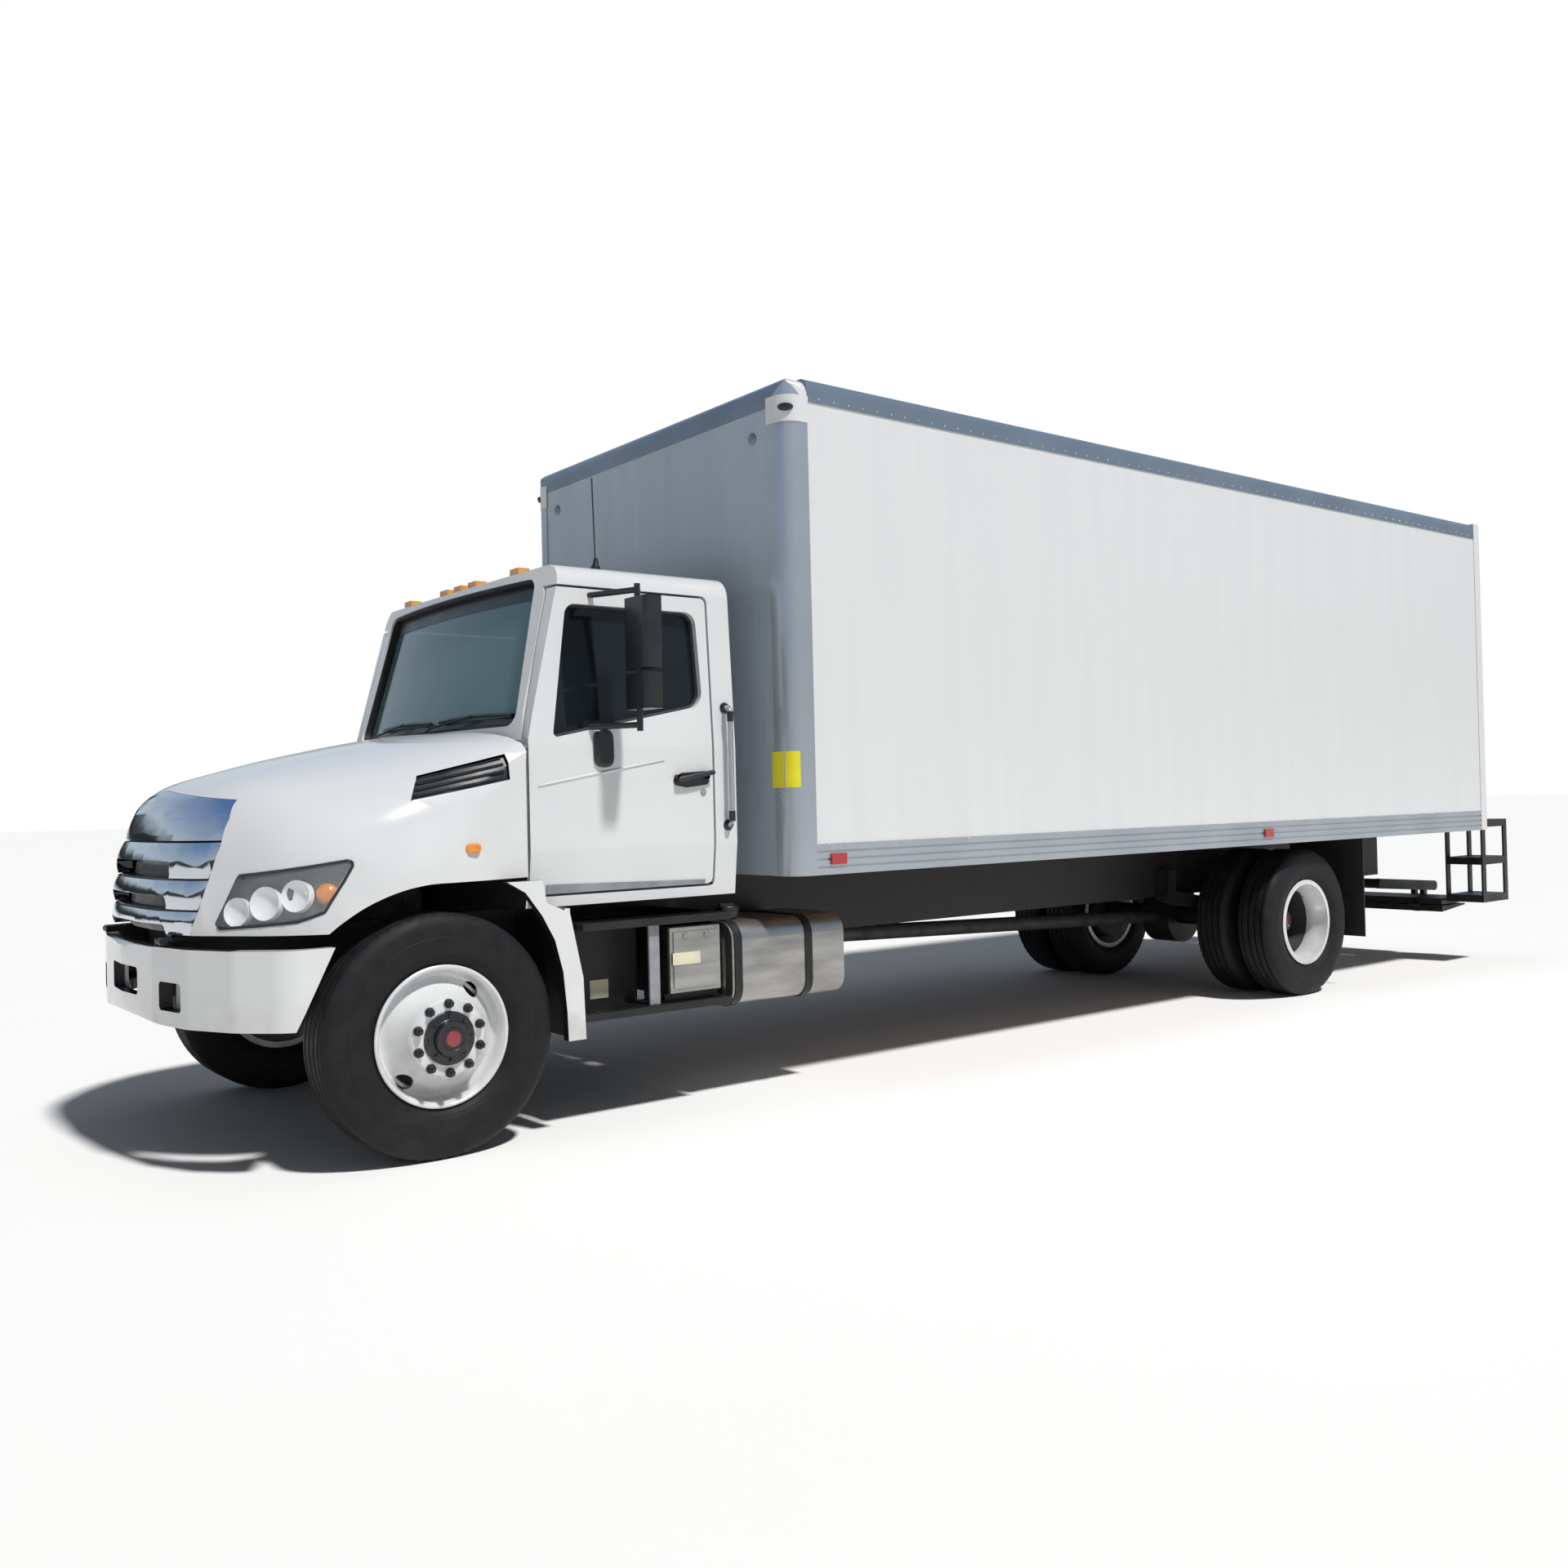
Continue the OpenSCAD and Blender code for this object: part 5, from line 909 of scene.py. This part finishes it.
def edge_gap(spot):
    """Metres from a place on the grille to its side edge."""
    share = grille_share(spot.z)
    for (s0, w0), (s1, w1) in zip(GRILLE_EDGE, GRILLE_EDGE[1:]):
        if share <= s1 or s1 == 1:
            return max(0.0, GRILLE_HALF * (w0 + (w1 - w0) * (share - s0) / (s1 - s0)) - abs(spot.y))


def add_grille():
    """The chrome grille with each bar bulged, its grooves painted black as painted shade."""
    def bars(bm):
        bm.from_mesh(NODES["grille"].data)
        bmesh.ops.remove_doubles(bm, verts=bm.verts, dist=DOUBLES)
        for low, high, _ in GRILLE_BARS:
            for k in range(1, 8):
                z = GRILLE_LOW + GRILLE_H * (low + (high - low) * k / 8)
                everything = bm.verts[:] + bm.edges[:] + bm.faces[:]
                bmesh.ops.bisect_plane(bm, geom=everything, plane_co=(0, 0, z), plane_no=(0, 0, 1))
        root = at(0.2, 0, 0)
        for vert in bm.verts:
            share = grille_share(vert.co.z)
            for low, high, bulge in GRILLE_BARS:
                if low <= share <= high:
                    way = Vector((vert.co.x - root.x, vert.co.y * 0.6, 0)).normalized()
                    lift = max(sin(pi * (share - low) / (high - low)), 0) ** 0.8
                    vert.co += way * bulge * lift * min(1.0, edge_gap(vert.co) / BULGE_FADE)
    obj = piece("grille_chrome", "chrome", bars, "hood", 40)
    # Faces in the grooves between the bars take black plastic: painted shade in the chrome's recesses.
    obj.data.materials.append(FINISHES["plastic"])
    for face in obj.data.polygons:
        if any(abs(grille_share(face.center.z) - groove) < GROOVE_SHADE_REACH for groove in GROOVE_SHARES):
            face.material_index = 1
    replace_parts(obj, "grille")


LAMP_OUT, LAMP_ASIDE = (0.8, 0.58, 0.14), (0.55, 0.83, 0.1)
LAMP_RAY = 0.5
HOUSING_DEEP, BOWL_DEEP, LAMP_RIM_R = 0.04, 0.006, 0.0065
# Share of a bowl's radius, metres more, distance out
BOWL = ((0, 0, -0.027), (0.5, 0, -0.026), (0.85, 0, -0.019), (1, 0, -0.008), (1, 0.004, -0.007), (1, 0.006, -0.04),
        (0, 0, -0.048))
LAMP_BOWLS = mm((735, 775, 1080, 56), (655, 880, 1115, 66), (565, 975, 1145, 62))
CORNER_SPOT = (0.462, 1.049, 1.15)
CORNER_LAMP = mm((0, -4), (20, -6), (36, -12), (44, -24), (46, -40))
SLATS = 4
SLAT = mm((-2, 6), (10, 1), (10, -3), (-2, -1))


def copy_faces(bm, node, rule, shift):
    """Copies of the faces of a CAD node whose middle and normal fit a rule, moved by shift."""
    bm.from_mesh(NODES[node].data)
    bm.normal_update()
    gone = [f for f in bm.faces if not rule(f.calc_center_median(), f.normal)]
    bmesh.ops.delete(bm, geom=gone, context="FACES")
    for vert in bm.verts:
        vert.co += shift


def add_headlamp(name, side):
    """Silver housing, three bowls painted near white as a painted reflection of chrome reflectors, an amber corner
    and a dark edge behind a clear lens.
    """
    cast = surface("headlamps")
    out = Vector(mirrored(LAMP_OUT, side)).normalized()
    aside = Vector(mirrored(LAMP_ASIDE, side)).normalized()

    def on_lens(spot, way):
        return cast(spot + way * LAMP_RAY, -way) or spot

    def front(spot, normal):
        return normal.dot(out) > TOWARD and spot.y * side > 0

    def bowls(bm):
        for *spot, r in LAMP_BOWLS:
            place = on_lens(at(*mirrored(spot, side)), out) - out * BOWL_DEEP
            lathe(bm, [(r * share + more, d) for share, more, d in BOWL], place, out, 32)

    def corner(bm):
        lathe(bm, CORNER_LAMP, on_lens(at(*mirrored(CORNER_SPOT, side)), aside), aside, 28)

    def rim(bm):
        for loop in edge_loops(NODES["headlamps"].data, front):
            tube(bm, loop, LAMP_RIM_R, 6)

    piece("lamp_housing_" + name, "housing",
          lambda bm: copy_faces(bm, "headlamps", front, out * -HOUSING_DEEP), "hood", 50)
    piece("lamp_bowls_" + name, "bowl_painted_reflection", bowls, "hood", 60)
    piece("lamp_corner_" + name, "amber", corner, "hood", 60)
    piece("lamp_rim_" + name, "plastic", rim, "hood", 60)


def add_vent(name, side):
    """Slats in the dark vent on one side of the hood."""
    on_hood = side_finder("hood", side)
    front_low, front_high, rear_high, rear_low = [Vector(corner) for corner in VENT]

    def slats(bm):
        for k in range(SLATS):
            t = (k + 0.5) / SLATS
            front, rear = front_low.lerp(front_high, t), rear_low.lerp(rear_high, t)
            line = on_hood([front.lerp(rear, 0.04 + 0.92 * j / 8) for j in range(9)])
            skin(bm, [[spot + Vector((0, side * y, z)) for y, z in SLAT] for spot in line])
    piece("vent_slats_" + name, "plastic", slats, "hood")


# Seats

SEATS = ((0.45, 0.52), (-0.39, 0.86))
SEAT_FLOOR, SEAT_FRONT, SEAT_REAR = 1.085, -1.01, -1.52
SEAT_TOP, HEAD_LOW, HEAD_HIGH = 1.93, 1.915, 2.08
HEAD_HALF, HEAD_APART = 0.13, 0.21
ONE_WIDE = 0.6
SEAM, SEAM_AT, SEAM_HALF = 0.01, 0.6, 0.1
ROUND_FROM = 0.45


def cushion(name, low, high, lean, round_by):
    """A stuffed pad between two corners for at(), leaned back by degrees about its lower rear edge."""
    low, high = at(*low), at(*high)
    half = (high - low) / 2

    def build(bm):
        bmesh.ops.create_cube(bm, size=1.0)
        bmesh.ops.subdivide_edges(bm, edges=bm.edges[:], cuts=5, use_grid_fill=True)
        for vert in bm.verts:
            share = 2 * vert.co
            flat = max(range(3), key=lambda i: abs(share[i]))
            pull = round_by * max(0.0, sorted(abs(s) for s in share)[1] - ROUND_FROM) * min(half)
            if flat != 1 and abs(abs(share.y) - SEAM_AT) < SEAM_HALF:
                pull += SEAM
            spot = Vector([s * h for s, h in zip(share, half)])
            spot[flat] -= copysign(pull, share[flat])
            vert.co = (low + high) / 2 + spot
        foot = Vector((low.x, 0, low.z))
        turn = Matrix.Rotation(radians(-lean), 4, "Y")
        bmesh.ops.rotate(bm, cent=foot, matrix=turn, verts=bm.verts)
    obj = piece(name, "cloth", build, angle=None)
    smooth = obj.modifiers.new("smooth", "SUBSURF")
    smooth.levels = smooth.render_levels = 1


def add_seat(i, y, wide):
    """Stuffed seat on a plastic box in place of the CAD one."""
    left, right = y - wide / 2, y + wide / 2

    def base(bm):
        block(bm, (SEAT_REAR + 0.07, left + 0.03, SEAT_FLOOR),
              (SEAT_FRONT - 0.12, right - 0.03, SEAT_FLOOR + 0.25), 0.02)
    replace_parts(piece(f"seat_box_{i}", "interior", base), "seats")
    cushion(f"seat_pad_{i}", (SEAT_REAR + 0.1, left, SEAT_FLOOR + 0.245),
            (SEAT_FRONT, right, SEAT_FLOOR + 0.385), 4, 0.5)
    cushion(f"seat_back_{i}", (SEAT_REAR + 0.055, left + 0.01, SEAT_FLOOR + 0.36),
            (SEAT_REAR + 0.185, right - 0.01, SEAT_TOP), 6, 0.5)
    heads = (y,) if wide < ONE_WIDE else (y - HEAD_APART, y + HEAD_APART)
    for k, spot in enumerate(heads):
        cushion(f"seat_head_{i}_{k}", (SEAT_REAR + 0.015, spot - HEAD_HALF, HEAD_LOW),
                (SEAT_REAR + 0.115, spot + HEAD_HALF, HEAD_HIGH), 4, 0.6)


# Van body

BOX_Y = 1.295
BODY_REAR_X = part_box("box_rails")[0].x
ROLLUP_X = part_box("rollup_door")[0].x - AXLE.x
FRAME_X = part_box("rear_frame")[0].x - AXLE.x
RIVET_PITCH, RIVET_FIRST, RIVET_SPARE = 0.1, 0.1, 0.3
RIVET_ROWS = (3.475, 3.515, 1.252, 1.29)
RIVET = mm((0, 3.6), (3.6, 3), (6, 0), (6, -3))
FRONT_LAMP_Y, FRONT_LAMP_Z = 1.018, 3.342
FRONT_LAMP = mm((0, 8), (16, 8), (26, 5), (31, 0), (31, -14))
CORNER_R, SLEEVE_T, SLEEVE_BACK, SLEEVE_IN = 0.1, 0.003, -0.15, 1.145
SLEEVE_Z, SLEEVE_H = 3.386, 0.134
CAP_LAMP_IN, CAP_LAMP_Z, CAP_LAMP_OUT = 0.029, 3.455, 0.004
CAP_LAMP_LONG, CAP_LAMP_HIGH = 0.04, 0.02
CAP_LAMP = ((1.0, -0.014), (1.0, 0.004), (0.85, 0.012), (0.45, 0.016))
FILM_Y, FILM_Z = (1.13, 1.17, 1.21, 1.245, 1.27, 1.285), (1.55, 1.61, 1.67, 1.732)
# How far proud, where from, half the width, foot, top and edge
LATCH_PLATES = ((0.012, 0, 0.09, 1.3, 1.42, 0.004), (0.03, 0.01, 0.025, 1.325, 1.4, 0.005))
LATCH_BARS = ((0.008, ((0.005, -0.3, 1.33), (0.04, -0.3, 1.335), (0.04, -0.16, 1.335), (0.005, -0.16, 1.33))),
              (0.01, ((0.02, 0, 1.29), (0.022, 0, 1.24), (0.012, 0, 1.2))))
HINGE_ROWS, HINGE_LOW, HINGE_PITCH, HINGE_Y = 8, 1.46, 0.24, (-1.1, -0.4, 0.4, 1.1)
HINGE_HALF_Y, HINGE_HALF_Z, HINGE_PROUD = 0.035, 0.03, 0.006
REAR_HANDLE_Y, REAR_HANDLE_R = 1.235, 0.012
REAR_HANDLE = mm((-5, 1550), (50, 1560), (55, 1600), (55, 1950), (50, 1990), (-5, 2000))


def sleeve():
    """Plan of the plate round a front corner post, as (back from the front, across)."""
    outer, inner = [], []
    for k in range(9):
        angle = pi / 2 * k / 8
        for bend, reach in ((outer, CORNER_R + SLEEVE_T), (inner, CORNER_R - SLEEVE_T)):
            bend.append((sin(angle) * reach - CORNER_R, BOX_Y - CORNER_R + cos(angle) * reach))
    return ([(SLEEVE_BACK, BOX_Y + SLEEVE_T)] + outer + [(SLEEVE_T, SLEEVE_IN), (-SLEEVE_T, SLEEVE_IN)]
            + inner[::-1] + [(SLEEVE_BACK, BOX_Y - SLEEVE_T)])


def add_body_side(name, side):
    """Rivets, front lamp, corner plate and its lamp on one side of the van body."""
    on_rails = side_finder("box_rails", side)
    front = BODY_FRONT_X

    def rivets(bm):
        first = BODY_REAR_X - AXLE.x + RIVET_FIRST
        count = int((front - BODY_REAR_X - RIVET_SPARE) / RIVET_PITCH) + 1
        for spot in on_rails([(first + k * RIVET_PITCH, z) for k in range(count) for z in RIVET_ROWS]):
            lathe(bm, RIVET, spot, (0, side, 0), 8)

    def front_lamp(bm):
        lathe(bm, FRONT_LAMP, (front - SUNK, side * FRONT_LAMP_Y, FRONT_LAMP_Z), (1, 0, 0), 28)

    def corner_cap(bm):
        plate(bm, [(front + x, side * y, SLEEVE_Z) for x, y in sleeve()], (0, 0, SLEEVE_H))

    def cap_lamp(bm):
        out = Vector((0.7, side * 0.7, 0)).normalized()
        along = Vector((-out.y, out.x, 0))
        spot = Vector((front - CAP_LAMP_IN, side * (BOX_Y - CAP_LAMP_IN), CAP_LAMP_Z)) + out * CAP_LAMP_OUT
        skin(bm, [[spot + CAP_LAMP_LONG * c * size * along + Vector((0, 0, CAP_LAMP_HIGH * s * size)) + out * rise
                   for c, s in circle(28)] for size, rise in CAP_LAMP])

    piece("rivets_" + name, "rail", rivets, angle=60)
    piece("front_lamp_" + name, "top_rail", front_lamp)
    piece("corner_cap_" + name, "panel", corner_cap)
    piece("cap_lamp_" + name, "plastic", cap_lamp)


def add_body_trim():
    """The blank yellow film, and the latch, hinge plates and handles at the rear."""
    hit_post = surface("box_front_frame")

    def film(bm):
        rows = []
        for z in FILM_Z:
            spots = [(y, hit_post((BODY_FRONT_X + 0.5, y, z), (-1, 0, 0))) for y in FILM_Y]
            rows.append([(met or Vector((BODY_FRONT_X, y, z))) + Vector((0.0015, 0.001, 0)) for y, met in spots])
        skin(bm, rows, around=False)

    def latch(bm):
        for proud, start, half, foot, top, edge in LATCH_PLATES:
            block(bm, (ROLLUP_X - proud, -half, foot), (ROLLUP_X - start, half, top), edge)
        for radius, path in LATCH_BARS:
            tube(bm, [at(ROLLUP_X - x, y, z) for x, y, z in path], radius)

    def hinges(bm):
        for k in range(HINGE_ROWS):
            z = HINGE_LOW + HINGE_PITCH * k
            for y in HINGE_Y:
                block(bm, (ROLLUP_X - HINGE_PROUD, y - HINGE_HALF_Y, z - HINGE_HALF_Z),
                      (ROLLUP_X + SUNK, y + HINGE_HALF_Y, z + HINGE_HALF_Z), 0.002)

    def handles(bm):
        for _, side in SIDES:
            tube(bm, [at(FRAME_X - x, side * REAR_HANDLE_Y, z) for x, z in REAR_HANDLE], REAR_HANDLE_R, 12)

    piece("film_yellow", "yellow", film, angle=60)
    piece("rollup_latch", "rail", latch)
    piece("rollup_plates", "rail", hinges)
    piece("rear_handles", "black", handles)


# Under the cab

STEP_X = (-1.54, -0.705)
STEP_Y = 1.1
STEP_Z = (0.525, 0.94)
STEP_BARS = 20
STEP_BAR_HALF, STEP_BAR_IN, STEP_BAR_OUT, STEP_BAR_RISE = 0.007, 0.235, 0.012, 0.004
NOSING_BACK, NOSING_PROUD, NOSING_LOW, NOSING_RISE = 0.01, 0.004, 0.034, 0.003
# Boxes for step_blocks: two corners, with y from the steps' outer edge, and the edges' radius
COVER_PLATES = [((-1.486, -0.034, 0.57), (-1.189, -0.018, 0.886), 0.004),
                ((-1.468, -0.022, 0.59), (-1.207, -0.01, 0.866), 0.005)]
CREAM_FILMS = [((-1.36, -0.01, 0.706), (-1.2, -0.0085, 0.764), 0.0005),
               ((-0.958, -0.212, 0.561), (-0.857, -0.2085, 0.65), 0.0008)]
STEP_POST = [((-1.14, -0.045, STEP_Z[0]), (-1.08, -0.03, STEP_Z[1] - 0.03), 0.004)]
BATTERY_LID = [((-1.115, -0.262, 0.8), (-0.745, -0.24, 0.895), 0.006)]
BATTERY_LID += [((x - 0.02, -0.262, 0.56), (x + 0.02, -0.246, 0.8), 0.004) for x in (-1.04, -0.93, -0.82)]
SCREW_X, SCREW_IN, SCREW_Z = (-1.4, -1.275), 0.01, 0.845
COVER_SCREW = mm((0, 10), (12, 9), (16, 4), (16, -4))
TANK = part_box("fuel_tank")
TANK_Y, TANK_Z = 0.8, 0.675
TANK_CAP_X, TANK_CAP_Y = -1.67, 0.89
TANK_END = mm((-220, 500), (-220, 850), (220, 850), (220, 500))
TANK_CAP = mm((50, -30), (60, -20), (62, 0), (62, 30), (56, 38), (20, 40), (0, 40))


def step_blocks(bm, boxes):
    """Rounded boxes on the steps of the driver's side."""
    for (x0, y0, z0), (x1, y1, z1), edge in boxes:
        block(bm, (x0, STEP_Y + y0, z0), (x1, STEP_Y + y1, z1), edge)


def add_step_trim():
    """Tread bars, the aluminium locker's cover, films, the grey post, battery lid and the tank's cap and ends."""
    def treads(bm):
        pitch = (STEP_X[1] - STEP_X[0] - 0.1) / (STEP_BARS - 1)
        for _, side in SIDES:
            for top in STEP_Z:
                for k in range(STEP_BARS):
                    x = STEP_X[0] + 0.05 + k * pitch
                    block(bm, (x - STEP_BAR_HALF, side * (STEP_Y - STEP_BAR_IN), top - SUNK),
                          (x + STEP_BAR_HALF, side * (STEP_Y - STEP_BAR_OUT), top + STEP_BAR_RISE), 0.0015)
                block(bm, (STEP_X[0], side * (STEP_Y - NOSING_BACK), top - NOSING_LOW),
                      (STEP_X[1], side * (STEP_Y + NOSING_PROUD), top + NOSING_RISE), 0.003)

    def cover(bm):
        step_blocks(bm, COVER_PLATES)
        for x in SCREW_X:
            lathe(bm, COVER_SCREW, at(x, STEP_Y - SCREW_IN, SCREW_Z), (0, 1, 0), 18)

    def cap(bm):
        x, y, z = TANK_CAP_X, TANK_CAP_Y, TANK[1].z - 0.01
        lathe(bm, TANK_CAP, at(x, y, z), UP, 36)
        block(bm, (x - 0.045, y - 0.008, z + 0.036), (x + 0.045, y + 0.008, z + 0.052), 0.004)

    def ends(bm):
        outline = rounded(TANK_END, 0.08)
        for corner, out in zip(TANK, (-1, 1)):
            lip = [(corner.x + out * 0.01, TANK_Y + y * 0.95, TANK_Z + (z - TANK_Z) * 0.94) for y, z in outline]
            skin(bm, [[(corner.x, TANK_Y + y, z) for y, z in outline], lip])

    piece("step_treads", "black", treads)
    piece("locker_cover", "tank", cover)
    piece("film_cream", "cream", lambda bm: step_blocks(bm, CREAM_FILMS))
    piece("step_post", "grey", lambda bm: step_blocks(bm, STEP_POST))
    piece("battery_lid", "plastic", lambda bm: step_blocks(bm, BATTERY_LID))
    piece("tank_cap", "plastic", cap)
    piece("tank_ends", "tank", ends)


# Antenna, side markers and mirrors

ANTENNA_FOOT = mm((0, 55), (10, 50), (16, 20), (26, 4), (26, -20))
ANTENNA_X, ANTENNA_Y = -0.956, 0.86
MARKER_SPOT = (-0.157, 1.311)
MARKER_Y = 1.15
MARKER = mm((-36, -21), (-36, 21), (36, 21), (36, -21))
MIRROR_FOOT = mm((-915, 1660), (-915, 1840), (-812, 1840), (-812, 1660))
MIRROR_RISE = 0.03


def add_antenna():
    """Whip antenna on the cab's roof."""
    foot = surface("cab_roof")(at(ANTENNA_X, ANTENNA_Y, 3.2), (0, 0, -1)) or at(ANTENNA_X, ANTENNA_Y, 2.6)

    def antenna(bm):
        lathe(bm, ANTENNA_FOOT, foot, (0, 0.1, 1), 20)
        tube(bm, [foot + Vector((x, 0, z)) for x, z in ((0, 0.03), (0.004, 0.2), (0.01, 0.44))], 0.0035, 8)
    piece("antenna", "plastic", antenna)


def add_side_parts(name, side):
    """Side marker on the hood, and the mirror's foot and glasses on the door."""
    mirror_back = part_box("mirror_" + name)[0].x

    def marker(bm):
        spot = side_finder("hood", side, MARKER_Y)([MARKER_SPOT])[0]
        outline = rounded(MARKER, 0.0205)
        skin(bm, [[spot + Vector((x * wide, side * rise, z * high)) for x, z in outline]
                  for wide, high, rise in ((1, 1, -0.01), (1, 1, 0.008), (0.75, 0.7, 0.018))])

    def mirror_base(bm):
        base = side_finder("door_" + name, side, DOOR_Y)(rounded(MIRROR_FOOT, 0.05, 8), -0.004)
        center = sum(base, Vector()) / len(base)
        rise = Vector((0, side * MIRROR_RISE, 0))
        skin(bm, [base, [p + rise * 0.6 for p in base], [center + (p - center) * 0.8 + rise for p in base]])

    def glasses(bm):
        copy_faces(bm, "mirror_" + name, lambda spot, n: n.x <= -0.9 and spot.x <= mirror_back + 0.06,
                   Vector((-0.0015, 0, 0)))

    piece("side_marker_" + name, "amber", marker, "hood", 60)
    piece("mirror_base_" + name, "plastic", mirror_base, "door_" + name)
    piece("mirror_glass_" + name, "mirror", glasses, "door_" + name)


# Under the hood

ENGINE_TOP = 1.4
COVER_X, COVER_HALF, COVER_FOOT, COVER_TOP = (-0.23, 0.55), 0.15, 0.004, 0.034
COVER_BOLT_Y, COVER_BOLT_Z = 0.138, ENGINE_TOP + 0.032
OIL_CAP_X, OIL_CAP_Y = 0.45, 0.04
MANIFOLD_LINE, MANIFOLD_Y, MANIFOLD_RISE = (-0.21, -0.05, 0.15, 0.35, 0.5), 0.255, 0.03
RUNNER, RUNNER_SHARE = ((MANIFOLD_Y, 0.028), (0.2, 0.032), (0.14, 0.014)), 0.7
INTAKE_R, EXHAUST_R = 0.034, 0.03
FLANK_Y, FLANK_BOLT_AHEAD, FLANK_BOLT_ROWS = 0.366, 0.06, (1.315, 1.055)
FILTER_X, FILTER_Y, FILTER_Z = (0.1, 0.24), 0.425, 1.19
CLEANER_SPOT, CLEANER_PIPE_R = (0.02, -0.478, 1.3), 0.032
BOTTLE, BOTTLE_CAP_SPOT = ((-0.33, 0.4, 1.24), (-0.21, 0.56, 1.4), 0.02), (-0.27, 0.48, 1.4)
CYLINDERS = [-0.165 + 0.125 * k for k in range(6)]
COVER_BOLT = mm((9, 0), (9, 12), (0, 13))
FLANK_BOLT = mm((10, 0), (10, 12), (0, 13))
OIL_CAP = mm((34, 0), (34, 16), (30, 20), (0, 20))
FILTER = mm((0, -100), (40, -100), (46, -90), (46, 90), (40, 100), (26, 120), (0, 120))
CLEANER = mm((0, -200), (80, -200), (92, -190), (92, -100), (97, -95), (97, -75), (92, -70), (92, 170), (75, 200),
             (50, 210), (0, 210))
CLEANER_PIPE = mm((200, -478, 1300), (290, -470, 1310), (340, -430, 1360), (360, -350, 1415), (360, -270, 1430))
BOTTLE_CAP = mm((26, -10), (26, 18), (22, 24), (0, 24))


def add_engine():
    """What the open hood shows: covers, manifolds, filters and a bottle round the engine."""
    def cover(bm):
        block(bm, (COVER_X[0], -COVER_HALF, ENGINE_TOP - COVER_FOOT),
              (COVER_X[1], COVER_HALF, ENGINE_TOP + COVER_TOP), 0.012)
        for x in CYLINDERS:
            block(bm, (x + 0.05, -0.135, ENGINE_TOP + 0.03), (x + 0.07, 0.135, ENGINE_TOP + 0.042), 0.004)
            for y in (-COVER_BOLT_Y, COVER_BOLT_Y):
                lathe(bm, COVER_BOLT, at(x, y, COVER_BOLT_Z), UP, 6)
        lathe(bm, OIL_CAP, at(OIL_CAP_X, OIL_CAP_Y, COVER_BOLT_Z), UP, 24)

    def manifold(bm, side, radius):
        tube(bm, [at(x, side * MANIFOLD_Y, ENGINE_TOP + MANIFOLD_RISE) for x in MANIFOLD_LINE], radius, 16)
        for x in CYLINDERS:
            tube(bm, [at(x, side * y, ENGINE_TOP + z) for y, z in RUNNER], radius * RUNNER_SHARE, 12)

    def flanks(bm):
        for _, side in SIDES:
            block(bm, (-0.2, side * 0.354, 1.04), (COVER_X[1], side * FLANK_Y, 1.33), 0.004)
            for x in CYLINDERS:
                block(bm, (x - 0.012, side * 0.36, 1.05), (x + 0.012, side * 0.378, 1.32), 0.005)
                for z in FLANK_BOLT_ROWS:
                    lathe(bm, FLANK_BOLT, at(x + FLANK_BOLT_AHEAD, side * FLANK_Y, z), (0, side, 0), 6)

    def filters(bm):
        for x in FILTER_X:
            lathe(bm, FILTER, at(x, FILTER_Y, FILTER_Z), UP, 28)

    def cleaner(bm):
        lathe(bm, CLEANER, at(*CLEANER_SPOT), (1, 0, 0), 36)
        tube(bm, [at(*spot) for spot in CLEANER_PIPE], CLEANER_PIPE_R, 16)

    def bottle(bm):
        block(bm, *BOTTLE)
        lathe(bm, BOTTLE_CAP, at(*BOTTLE_CAP_SPOT), UP, 24)

    piece("valve_cover", "plastic", cover)
    piece("intake_manifold", "rail", lambda bm: manifold(bm, 1, INTAKE_R), angle=50)
    piece("exhaust_manifold", "cast", lambda bm: manifold(bm, -1, EXHAUST_R), angle=50)
    piece("engine_flanks", "cast", flanks)
    piece("oil_filters", "white", filters, angle=40)
    piece("air_cleaner", "plastic", cleaner, angle=40)
    piece("coolant_bottle", "cream", bottle, angle=40)


def on_both_sides(add):
    """Calls add for the left and for the right side."""
    for name, side in SIDES:
        add(name, side)


finish_nodes()
repaint_nodes()
add_engine()
for axle_row in TYRE_NODES:
    for side_name, side_sign in SIDES:
        add_wheel(axle_row, side_name, side_sign)
add_windshield()
on_both_sides(add_door)
on_both_sides(add_window_rubber)
add_grille()
on_both_sides(add_headlamp)
on_both_sides(add_vent)
for number, seat in enumerate(SEATS):
    add_seat(number, *seat)
on_both_sides(add_body_side)
add_body_trim()
add_step_trim()
add_antenna()
on_both_sides(add_side_parts)
add_camera()
add_studio()
